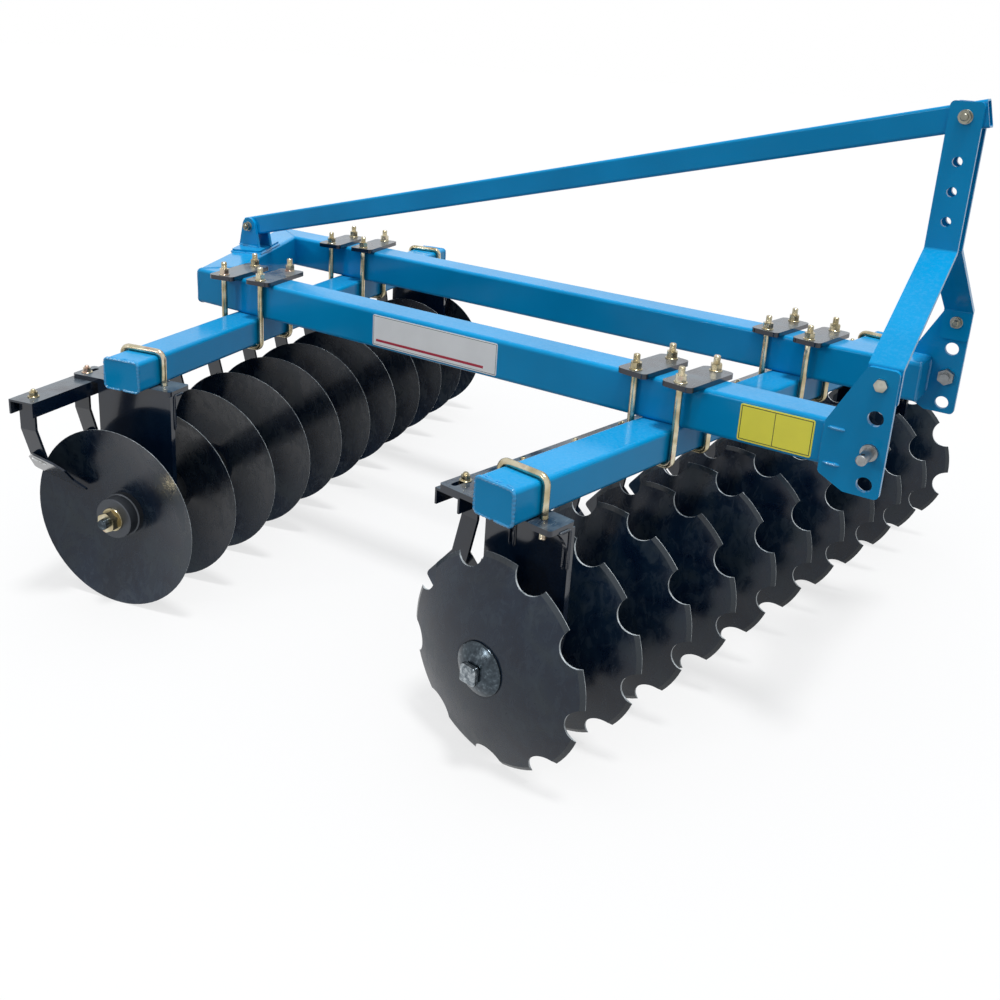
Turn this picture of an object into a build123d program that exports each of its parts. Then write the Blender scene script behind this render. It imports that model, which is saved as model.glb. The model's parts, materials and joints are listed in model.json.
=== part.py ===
from build123d import *
import os
from math import sin, cos, tan, radians, sqrt, atan2

# Three-point offset disc harrow, millimetres. X points forward to the hitch, Y to the left, Z up.
# Each gang is drawn in its own frame: Y along the axle to the left, X square to it and forward.

# Frame
BEAM_W, BEAM_H, BEAM_WALL, BEAM_R = 100, 100, 6, 10
CAP_T, CAP_EDGE_R = 5, 3            # welded end caps, as large as the tube
FRAME_W = 680                       # over the outer faces of the two main beams
BEAM_TOP = 724
BEAM_FRONT = 1063
CROSS_X, CROSS_SKEW = -955, 26.4    # cross beam centre on Y = 0 and its slant in degrees

# Gang beams, clamped under the main beams
GANG_BEAM_W, GANG_BEAM_H, GANG_BEAM_WALL, GANG_BEAM_R = 100, 76, 6, 10
GANG_BEAM_START, GANG_BEAM_END = -873, 903

# Discs and axles
DISC_D, DISC_T, DISC_SPHERE_R, DISC_FLAT_R = 460, 4, 600, 64
DISC_COUNT, DISC_PITCH, HUB_START = 11, 180, -885
BEVEL_W, EDGE_T = 9, 1.2
NOTCH_COUNT, NOTCH_R, NOTCH_OUT = 9, 40, 8      # round notches, centred a little outside the rim
AXLE_SQ = 30
AXLE_FIT = 0.25
SPOOL_END_R, SPOOL_WAIST_R, SPOOL_END_L = 48, 30, 14

# Axle ends: a domed washer under the square head, and a sleeve under the nut
DOME_R, DOME_EDGE_T, DOME_H = 57, 4, 22
HEAD_SQ, HEAD_H, HEAD_R = 40, 16, 5
SLEEVE_R, SLEEVE_STEP, SLEEVE_L = 55, 3, 45
AXLE_NUT_AF, AXLE_NUT_H, AXLE_THREAD_R, AXLE_OUT = 46, 22, 13.5, 14
AXLE_WASHER_R, AXLE_WASHER_T = 30, 5

# Bearings and hangers, in the first and last gaps between discs
BEARING_GAPS = (0.5, DISC_COUNT - 1.5)
JOURNAL_R, BEARING_FIT = 34, 0.05
HOUSING_R, HOUSING_L, HOUSING_CHAMFER = 56, 62, 5
HOUSING_FLANGE_R, HOUSING_FLANGE_T = 86, 12
WEB_FRONT, WEB_REAR, WEB_LOW, WEB_T = 106, -112, 300, 14
WEB_RING_R, WEB_BORE_R = 92, 50
GUSSET_T, GUSSET_REACH, GUSSET_DROP = 10, 38, 100
GUSSET_XS = (-42, WEB_FRONT - GUSSET_T)
FLANGE_T, FLANGE_L, FLANGE_R = 12, 76, 8
FLANGE_REAR = -190

# U-bolts and clamp plates
UBOLT_D, UBOLT_GAP, UBOLT_BEND = 16, 1, 18
CLAMP_PLATE_W, CLAMP_PLATE_T, CLAMP_PLATE_R, CLAMP_MARGIN = 78, 12, 14, 20
NUT_AF, NUT_H, NUT_COUNT, THREAD_OUT = 24, 13, 2, 10
HOLE_CLEAR = 0.5
CLEAR = 3

# Hitch plates and pins
HITCH_X, HITCH_TOP_HOLE, HOLE_PITCH = 1110, 820, 70
PLATE_T, PLATE_HOLE_R, PLATE_CORNER_R = 12, 16, 11
PLATE_MARGIN, PLATE_LOW_MARGIN = 32, 26         # from the holes' centres to the plate's edges
PLATE_TOP_L, PLATE_MID_L, PLATE_LOW_L = 62, 128, 72
PIN_D, PIN_L, COLLAR_R, COLLAR_T = 22, 62, 17.5, 8
PIN_NUT_AF, PIN_NUT_H, PIN_NUT_OUT = 36, 18, 12
LINCH_D, LINCH_IN = 8, 10

# Mast bars, whose upper heights are shares of their upright stretch
MAST_W, MAST_T, MAST_TOP, MAST_TOP_R, MAST_BEND_R = 68, 10, 1350, 10, 6
FOOT_BEND_Z, FOOT_LOW_Z = 850, 776
STRAIGHT_SHARE, BOLT_SHARE, LINK_SHARE, LINK_PITCH_SHARE = 0.622, 0.1, 0.39, 0.2
MAST_STRAIGHT = STRAIGHT_SHARE * (MAST_TOP - FOOT_BEND_Z)
MAST_BEND_Z = MAST_TOP - MAST_STRAIGHT
MAST_BOLT_Z = MAST_TOP - BOLT_SHARE * MAST_STRAIGHT
TOP_LINK_Z = MAST_TOP - LINK_SHARE * MAST_STRAIGHT
TOP_LINK_PITCH = LINK_PITCH_SHARE * MAST_STRAIGHT
TOP_LINK_R = 10.25
BOLT_D, BOLT_AF, BOLT_HEAD_H, BOLT_NUT_H, BOLT_OUT = 16, 24, 10, 13, 6

# Stay between the mast top and the rear beam
STAY_H, STAY_W, STAY_WALL, STAY_R = 58, 40, 4, 7
STAY_REAR_X, STAY_REAR_Z = -958, 797
STAY_FRONT_OUT, STAY_REAR_OUT = 42, 24
EAR_T, EAR_R, EAR_W, EAR_GAP = 10, 27, 84, 0.5
BASE_L, BASE_W, BASE_T, BASE_R = 184, 92, 10, 8

# Scrapers: channel, bent arms with a tab on top, and blades whose lower edge follows the dish
BAR_W, BAR_H, BAR_T, BAR_X = 70, 36, 5, -165
BAR_OUT = 21                                    # past the outermost arm, or else to the flange's edge
SLOT_L, SLOT_W = 50, 14
ARM_W, ARM_T, ARM_TAB_L = 45, 7, 42
ARM_TOP_OUT, ARM_FOOT_OUT = 125, 97             # from the hub along the axle
ARM_BEND_Z, ARM_FOOT_Z = 460, 372
BLADE_T, BLADE_CLEAR, BLADE_R = 5, 11, 9
EDGE_OUTER_R, EDGE_INNER_R, EDGE_ANGLE = 238, 112, 155
BLADE_H = 104                                   # from the scraping edge up to the arm's foot

# Gangs: x where the axle crosses Y = 0, slant (left end forward is plus), notched discs,
# bulge (-1: the dish bulges to the right)
GANGS = {
    "front": dict(x=700, slant=8.8, notched=True, bulge=-1),
    "rear": dict(x=-714, slant=-12.4, notched=False, bulge=1),
}
SIDES = {"right": -1, "left": 1}

DISC_R = DISC_D / 2
AXLE_Z = DISC_R
BEAM_LOW = BEAM_TOP - BEAM_H
GANG_BEAM_LOW = BEAM_LOW - GANG_BEAM_H
BEAM_Y = FRAME_W / 2 - BEAM_W / 2
FLANGE_TOP = GANG_BEAM_LOW
FLANGE_LOW = FLANGE_TOP - FLANGE_T
LEG_X = GANG_BEAM_W / 2 + UBOLT_GAP + UBOLT_D / 2
PIN_Z = HITCH_TOP_HOLE - 2 * HOLE_PITCH
HALF_SPACE = 8 * FRAME_W

nodes = {}


def box(x0, x1, y0, y1, z0, z1):
    x0, x1 = sorted((x0, x1))
    y0, y1 = sorted((y0, y1))
    return Pos((x0 + x1) / 2, (y0 + y1) / 2, (z0 + z1) / 2) * Box(x1 - x0, y1 - y0, z1 - z0)


def rod(r, a, b):
    a, b = Vector(*a), Vector(*b)
    return extrude(Plane(a, z_dir=(b - a)) * Circle(r), (b - a).length)


def hexagon(af, h, at, axis=(0, 0, 1)):
    return extrude(Plane(Vector(*at), z_dir=axis) * RegularPolygon(af / sqrt(3), 6), h)


def tube(w, h, wall, r):
    """Tube section on the plane square to its length, w across and h up."""
    return RectangleRounded(w, h, r) - RectangleRounded(w - 2 * wall, h - 2 * wall, max(r - wall, 1))


def capped_end(plane, w, h, r):
    """Plate welded on a tube's end, on the side to which the plane's z points, its outer edges rounded."""
    cap = extrude(plane * RectangleRounded(w, h, r), CAP_T)
    outer = cap.faces().sort_by(lambda f: (f.center() - plane.origin).dot(plane.z_dir))[-1]
    return fillet(outer.edges(), CAP_EDGE_R)


def xz_plate(points, t, y, r=0):
    """Flat plate drawn in the XZ plane, from y to y + t."""
    face = make_face(Polyline(*points, close=True))
    if r:
        face = fillet(face.vertices(), r)
    return extrude(Plane.XZ.offset(-y) * face, -t)


def revolved(points):
    """Solid of revolution about Y from (radius, y) points."""
    face = make_face(Plane.XY * Polyline(*points, close=True))
    return revolve(face, Axis.Y, 360)


def half_space(point, normal):
    """A big block on the side of the plane to which the normal points."""
    return extrude(Plane(Vector(*point), z_dir=Vector(*normal)) * Rectangle(HALF_SPACE, HALF_SPACE), HALF_SPACE)


def cross_x(y):
    return CROSS_X - tan(radians(CROSS_SKEW)) * y


# Main beams, mitred onto the slanted cross beam
skew = radians(CROSS_SKEW)
cross_dir = Vector(-sin(skew), cos(skew), 0)
mid_z = BEAM_TOP - BEAM_H / 2

for side, sy in SIDES.items():
    y = sy * BEAM_Y
    corner = Vector(cross_x(y), y, mid_z)
    mitre = (Vector(1, 0, 0) - cross_dir * -sy).normalized()
    beam = extrude(Plane((cross_x(y) - BEAM_W, y, mid_z), x_dir=(0, 1, 0), z_dir=(1, 0, 0))
                   * tube(BEAM_W, BEAM_H, BEAM_WALL, BEAM_R), BEAM_FRONT - cross_x(y) + BEAM_W)
    beam = beam & half_space(corner, mitre)
    front = Plane((BEAM_FRONT, y, mid_z), x_dir=(0, 1, 0), z_dir=(1, 0, 0))
    nodes[f"{side}_main_beam"] = beam + capped_end(front, BEAM_W, BEAM_H, BEAM_R)

reach = FRAME_W / cos(skew)
cross = extrude(Plane(Vector(cross_x(0), 0, mid_z) - cross_dir * reach, x_dir=(cos(skew), sin(skew), 0),
                      z_dir=cross_dir) * tube(BEAM_W, BEAM_H, BEAM_WALL, BEAM_R), 2 * reach)
for side, sy in SIDES.items():
    y = sy * BEAM_Y
    mitre = (Vector(1, 0, 0) - cross_dir * -sy).normalized()
    cross = cross & half_space((cross_x(y), y, mid_z), -mitre)
nodes["rear_cross_beam"] = cross

# Hitch plates outside the beam ends, with four holes in line
hole_zs = [HITCH_TOP_HOLE - i * HOLE_PITCH for i in range(4)]
front_x = HITCH_X + PLATE_MARGIN
plate_top, plate_low = hole_zs[0] + PLATE_MARGIN, hole_zs[3] - PLATE_LOW_MARGIN
outline = [(front_x, plate_low), (front_x, plate_top), (front_x - PLATE_TOP_L, plate_top),
           (front_x - PLATE_MID_L, BEAM_TOP), (front_x - PLATE_MID_L, BEAM_LOW - PLATE_CORNER_R),
           (front_x - PLATE_LOW_L, plate_low)]
for side, sy in SIDES.items():
    y_in = sy * FRAME_W / 2
    y0 = min(y_in, y_in + sy * PLATE_T)
    plate = xz_plate(outline, PLATE_T, y0, PLATE_CORNER_R)
    for i, z in enumerate(hole_zs):
        r = {0: BOLT_D / 2, 2: PIN_D / 2}.get(i, PLATE_HOLE_R)
        plate -= rod(r, (HITCH_X, y0 - 1, z), (HITCH_X, y0 + PLATE_T + 1, z))
    nodes[f"{side}_hitch_plate"] = plate

    y_out = y_in + sy * PLATE_T
    y_tip = y_out + sy * PIN_L
    pin = rod(PIN_D / 2, (HITCH_X, y_in - sy * (PIN_NUT_H + PIN_NUT_OUT), PIN_Z), (HITCH_X, y_tip, PIN_Z))
    pin = chamfer(pin.edges().filter_by(GeomType.CIRCLE).sort_by(Axis.Y)[-1 if sy > 0 else 0], 2)
    pin += rod(COLLAR_R, (HITCH_X, y_out, PIN_Z), (HITCH_X, y_out + sy * COLLAR_T, PIN_Z))
    pin += hexagon(PIN_NUT_AF, PIN_NUT_H, (HITCH_X, y_in, PIN_Z), (0, -sy, 0))
    y_linch = y_tip - sy * LINCH_IN
    pin -= rod(LINCH_D / 2, (HITCH_X, y_linch, PIN_Z - PIN_D), (HITCH_X, y_linch, PIN_Z + PIN_D))
    nodes[f"{side}_hitch_pin"] = pin

# Mast bars: upright beside the stay, splayed to the hitch plates, upright again at the foot
for side, sy in SIDES.items():
    y_top = sy * (STAY_W / 2)
    y_foot = sy * (FRAME_W / 2 - MAST_T)
    lean = atan2(abs(y_foot - y_top), MAST_BEND_Z - FOOT_BEND_Z)
    shift = MAST_T * tan(lean / 2)
    inner = [(y_top, MAST_TOP), (y_top, MAST_BEND_Z), (y_foot, FOOT_BEND_Z), (y_foot, FOOT_LOW_Z)]
    outer = [(y_foot + sy * MAST_T, FOOT_LOW_Z), (y_foot + sy * MAST_T, FOOT_BEND_Z + shift),
             (y_top + sy * MAST_T, MAST_BEND_Z + shift), (y_top + sy * MAST_T, MAST_TOP)]
    face = make_face(Polyline(*(inner + outer), close=True))
    bar = extrude(Plane.YZ.offset(HITCH_X - MAST_W / 2) * face, MAST_W)
    bends = [e for e in bar.edges().filter_by(Axis.X)
             if abs(e.center().Z - MAST_BEND_Z) < 2 * MAST_T or abs(e.center().Z - FOOT_BEND_Z) < 2 * MAST_T]
    bar = fillet(bends, MAST_BEND_R)
    corners = [e for e in bar.edges().filter_by(Axis.Y) if e.length < 1.1 * MAST_T]
    bar = fillet(corners, MAST_TOP_R)
    y_far = y_top + sy * 3 * MAST_T
    link_zs = [TOP_LINK_Z - i * TOP_LINK_PITCH for i in range(3)]
    for z, r in [(MAST_BOLT_Z, BOLT_D / 2)] + [(z, TOP_LINK_R) for z in link_zs]:
        bar -= rod(r, (HITCH_X, y_top - sy * MAST_T, z), (HITCH_X, y_far, z))
    y_far = y_foot + sy * 2 * MAST_T
    bar -= rod(BOLT_D / 2, (HITCH_X, y_foot - sy * MAST_T, HITCH_TOP_HOLE), (HITCH_X, y_far, HITCH_TOP_HOLE))
    nodes[f"{side}_mast_bar"] = bar

# Stay tube, bolted between the mast bars and in the clevis of the rear beam
stay_a, stay_b = Vector(STAY_REAR_X, 0, STAY_REAR_Z), Vector(HITCH_X, 0, MAST_BOLT_Z)
stay_dir = (stay_b - stay_a).normalized()
stay_plane = Plane(stay_a - stay_dir * STAY_REAR_OUT, x_dir=(0, 1, 0), z_dir=stay_dir)
stay = extrude(stay_plane * tube(STAY_W, STAY_H, STAY_WALL, STAY_R),
               (stay_b - stay_a).length + STAY_FRONT_OUT + STAY_REAR_OUT)
for p in (stay_a, stay_b):
    stay -= rod(BOLT_D / 2, (p.X, -STAY_W, p.Z), (p.X, STAY_W, p.Z))
nodes["stay_tube"] = stay

# Clevis on the rear beam: a base plate along the beam and two tapered ears
base = Pos(STAY_REAR_X, 0, BEAM_TOP + BASE_T / 2) * Rot(0, 0, CROSS_SKEW) * Box(BASE_W, BASE_L, BASE_T)
bracket = fillet(base.edges().filter_by(Axis.Z), BASE_R)
ear_foot = STAY_REAR_Z - BEAM_TOP - BASE_T
ear_in = STAY_W / 2 + EAR_GAP
ear = make_hull(Circle(EAR_R).edges() + Line((-EAR_W / 2, -ear_foot), (EAR_W / 2, -ear_foot)).edges())
ear -= Circle(BOLT_D / 2)
for y_back in (-ear_in, ear_in + EAR_T):
    bracket += extrude(Plane((STAY_REAR_X, y_back, STAY_REAR_Z), x_dir=(1, 0, 0), z_dir=(0, -1, 0)) * ear, EAR_T)
nodes["stay_bracket"] = bracket


def cross_bolt(x, z, half):
    """Hexagon bolt along Y with its head on the left, over a grip of twice half."""
    bolt = rod(BOLT_D / 2, (x, half + 1, z), (x, -half - BOLT_NUT_H - BOLT_OUT, z))
    bolt += hexagon(BOLT_AF, BOLT_HEAD_H, (x, half, z), (0, 1, 0))
    bolt += hexagon(BOLT_AF, BOLT_NUT_H, (x, -half, z), (0, -1, 0))
    return bolt


nodes["stay_bolts"] = Compound([cross_bolt(STAY_REAR_X, STAY_REAR_Z, ear_in + EAR_T),
                                cross_bolt(HITCH_X, MAST_BOLT_Z, STAY_W / 2 + MAST_T)])
foot_bolts = []
for side, sy in SIDES.items():
    y_in, y_out = sy * (FRAME_W / 2 - MAST_T), sy * (FRAME_W / 2 + PLATE_T)
    y_end = y_in - sy * (BOLT_NUT_H + BOLT_OUT)
    bolt = rod(BOLT_D / 2, (HITCH_X, y_end, HITCH_TOP_HOLE), (HITCH_X, y_out, HITCH_TOP_HOLE))
    bolt += hexagon(BOLT_AF, BOLT_HEAD_H, (HITCH_X, y_out, HITCH_TOP_HOLE), (0, sy, 0))
    bolt += hexagon(BOLT_AF, BOLT_NUT_H, (HITCH_X, y_in, HITCH_TOP_HOLE), (0, -sy, 0))
    foot_bolts.append(bolt)
nodes["mast_foot_bolts"] = Compound(foot_bolts)


def u_bolt(leg_x, bar_z, end_z, bend):
    """U-bolt in the XZ plane: bar at bar_z, legs at plus and minus leg_x down or up to end_z."""
    s = 1 if end_z > bar_z else -1
    path = FilletPolyline((-leg_x, 0, end_z), (-leg_x, 0, bar_z), (leg_x, 0, bar_z), (leg_x, 0, end_z),
                          radius=bend)
    return sweep(Plane((-leg_x, 0, end_z), z_dir=(0, 0, -s)) * Circle(UBOLT_D / 2), path)


def dish_depth(r):
    """How far the dished surface has risen from its flat seat at this radius."""
    s = DISC_SPHERE_R
    return sqrt(s * s - DISC_FLAT_R ** 2) - sqrt(s * s - r * r)


def disc(notched, bulge):
    """Dished disc about Y with its flat seat centred on Y = 0; the dish bulges to bulge * Y."""
    h = DISC_T / 2
    r_bevel = DISC_R - BEVEL_W
    inner_mid, outer_mid = (DISC_FLAT_R + DISC_R) / 2, (DISC_FLAT_R + r_bevel) / 2
    rim = dish_depth(DISC_R) + h
    with BuildSketch(Plane.XZ) as profile:
        with BuildLine():
            Line((0, -h), (DISC_FLAT_R, -h))
            ThreePointArc((DISC_FLAT_R, -h), (outer_mid, dish_depth(outer_mid) - h),
                          (r_bevel, dish_depth(r_bevel) - h))
            Line((r_bevel, dish_depth(r_bevel) - h), (DISC_R, rim - EDGE_T))
            Line((DISC_R, rim - EDGE_T), (DISC_R, rim))
            ThreePointArc((DISC_R, rim), (inner_mid, dish_depth(inner_mid) + h), (DISC_FLAT_R, h))
            Line((DISC_FLAT_R, h), (0, h))
            Line((0, h), (0, -h))
        make_face()
    body = revolve(profile.sketch, Axis.Z, 360)
    body -= Box(AXLE_SQ + 2 * AXLE_FIT, AXLE_SQ + 2 * AXLE_FIT, 5 * DISC_T)
    if notched:
        notch_at = DISC_R + NOTCH_OUT
        for i in range(NOTCH_COUNT):
            a = radians(90 + 360 / NOTCH_COUNT * i)
            body -= Pos(notch_at * cos(a), notch_at * sin(a), rim / 2) * Cylinder(NOTCH_R, 2 * rim)
    return Rot(90 if bulge > 0 else -90, 0, 0) * body


def square_bore(y0, y1):
    a = AXLE_SQ / 2 + AXLE_FIT
    return box(-a, a, y0, y1, -a, a)


def spool(y0, y1, journal):
    """Spacer spool between two discs; a journal spool has a smooth middle for its bearing."""
    e, c = SPOOL_END_R, SPOOL_END_L
    if journal:
        m, j, step = (y0 + y1) / 2, HOUSING_L / 2 + 8, JOURNAL_R + 8
        middle = [(step, m - j), (JOURNAL_R, m - j), (JOURNAL_R, m + j), (step, m + j)]
    else:
        middle = [(SPOOL_WAIST_R, y0 + 2.4 * c), (SPOOL_WAIST_R, y1 - 2.4 * c)]
    points = [(0, y0), (e, y0), (e, y0 + c)] + middle + [(e, y1 - c), (e, y1), (0, y1)]
    return revolved(points) - square_bore(y0 - 1, y1 + 1)


def domed_washer(y, s):
    """Domed washer from y to y + s * DOME_H, flat on the disc's side."""
    sphere_h = DOME_H - DOME_EDGE_T
    sphere_r = (DOME_R ** 2 + sphere_h ** 2) / (2 * sphere_h)
    ball = Pos(0, y + s * (DOME_H - sphere_r), 0) * Sphere(sphere_r)
    return rod(DOME_R, (0, y, 0), (0, y + s * DOME_H, 0)) & ball


def sleeve(y, s):
    """Turned sleeve from y to y + s * SLEEVE_L with a raised band beside the disc."""
    r = SLEEVE_R - SLEEVE_STEP
    return revolved([(0, y), (SLEEVE_R, y), (SLEEVE_R, y + s * SLEEVE_L / 3), (r, y + s * (SLEEVE_L / 3 + 2)),
                     (r, y + s * (SLEEVE_L - 2)), (r - 2, y + s * SLEEVE_L), (0, y + s * SLEEVE_L)])


def hub_y(k):
    return HUB_START + k * DISC_PITCH


def hanger(y, out):
    """Flange under the gang beam, web on the side out of y, two curved gussets and slot for the scrapers."""
    web_in, web_far = y + out * (FLANGE_L / 2 - WEB_T), y + out * FLANGE_L / 2
    flange = box(FLANGE_REAR, WEB_FRONT, y - FLANGE_L / 2, y + FLANGE_L / 2, FLANGE_LOW, FLANGE_TOP)
    flange = fillet(flange.edges().filter_by(Axis.Z), FLANGE_R)
    slot = Pos(BAR_X, y, FLANGE_TOP) * Rot(0, 0, 90) * extrude(SlotOverall(SLOT_L, SLOT_W), 2 * FLANGE_T, both=True)
    shape = flange - slot
    for sx in (-1, 1):
        shape -= rod(UBOLT_D / 2 + HOLE_CLEAR, (sx * LEG_X, y, FLANGE_LOW - 1), (sx * LEG_X, y, FLANGE_TOP + 1))

    sides = Line((WEB_REAR, FLANGE_LOW), (WEB_REAR, WEB_LOW)).edges() + Line((WEB_FRONT, FLANGE_LOW),
                                                                             (WEB_FRONT, WEB_LOW)).edges()
    web = make_hull(sides + (Pos(0, AXLE_Z) * Circle(WEB_RING_R)).edges()) - Pos(0, AXLE_Z) * Circle(WEB_BORE_R)
    shape += extrude(Plane.XZ.offset(-min(web_in, web_far)) * web, -WEB_T)

    y_tip, z_foot = web_in - out * GUSSET_REACH, FLANGE_LOW - GUSSET_DROP
    with BuildSketch(Plane.YZ) as gusset:
        with BuildLine():
            Line((web_in, FLANGE_LOW), (y_tip, FLANGE_LOW))
            ThreePointArc((y_tip, FLANGE_LOW), (web_in - out * GUSSET_REACH / 4, FLANGE_LOW - GUSSET_DROP / 3),
                          (web_in, z_foot))
            Line((web_in, z_foot), (web_in, FLANGE_LOW))
        make_face()
    for x in GUSSET_XS:
        shape += Pos(x, 0, 0) * extrude(gusset.sketch, GUSSET_T, dir=(1, 0, 0))
    return shape


def bearing(y, out):
    """Housing on the journal with a round flange that bolts to the hanger's web."""
    web_in = y + out * (FLANGE_L / 2 - WEB_T)
    body = rod(HOUSING_R, (0, y - out * HOUSING_L / 2, AXLE_Z), (0, web_in, AXLE_Z))
    body = chamfer(body.edges().filter_by(GeomType.CIRCLE), HOUSING_CHAMFER)
    body += rod(HOUSING_FLANGE_R, (0, web_in - out * HOUSING_FLANGE_T, AXLE_Z), (0, web_in, AXLE_Z))
    return body - rod(JOURNAL_R + BEARING_FIT, (0, y - HOUSING_L, AXLE_Z), (0, y + HOUSING_L, AXLE_Z))


def bent_flat(points, width, t):
    """Flat bar of thickness t across X, bent along (y, z) points at its middle."""
    sides = {1: [], -1: []}
    for i, (y, z) in enumerate(points):
        before = Vector(*points[i]) - Vector(*points[i - 1]) if i else None
        after = Vector(*points[i + 1]) - Vector(*points[i]) if i + 1 < len(points) else None
        a = (before or after).normalized()
        b = (after or before).normalized()
        across = Vector(-(a + b).Y, (a + b).X).normalized()
        half = t / 2 / across.dot(Vector(-a.Y, a.X))
        for s in sides:
            sides[s].append((y + s * half * across.X, z + s * half * across.Y))
    face = make_face(Polyline(*(sides[1] + sides[-1][::-1]), close=True))
    return extrude(Plane.YZ.offset(-width / 2) * face, width)


def scraper(out):
    """Arm and blade for the disc whose hub is at Y = 0, on its hollow side."""
    tab_z = FLANGE_LOW - BAR_T - ARM_T / 2
    arm = Pos(BAR_X, 0, 0) * bent_flat([(out * (ARM_TOP_OUT - ARM_TAB_L), tab_z), (out * ARM_TOP_OUT, tab_z),
                                        (out * ARM_TOP_OUT, ARM_BEND_Z), (out * ARM_FOOT_OUT, ARM_FOOT_Z)],
                                       ARM_W, ARM_T)
    a = radians(EDGE_ANGLE)
    edge = [Vector(r * cos(a), out * (dish_depth(min(r, DISC_R)) + DISC_T / 2 + BLADE_CLEAR), AXLE_Z + r * sin(a))
            for r in (EDGE_OUTER_R, EDGE_INNER_R)]
    foot = Vector(BAR_X, out * ARM_FOOT_OUT, ARM_FOOT_Z)
    along = (edge[1] - edge[0]).normalized()
    normal = along.cross(foot - edge[0]).normalized()
    if normal.Y * out < 0:
        normal = -normal
    plane = Plane(edge[0], x_dir=along, z_dir=normal)
    up = 1 if plane.y_dir.Z > 0 else -1
    length, h = (edge[1] - edge[0]).length, BLADE_H
    shares = [(-0.04, 0), (0.95, 0), (1.07, 0.18), (0.78, 0.44), (0.64, 0.86), (0.42, 1.0), (0.0, 1.0), (-0.1, 0.7)]
    outline = make_face(Polyline(*[(length * u, up * h * v) for u, v in shares], close=True))
    blade = extrude(plane * fillet(outline.vertices(), BLADE_R), BLADE_T)
    return arm + blade


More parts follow.
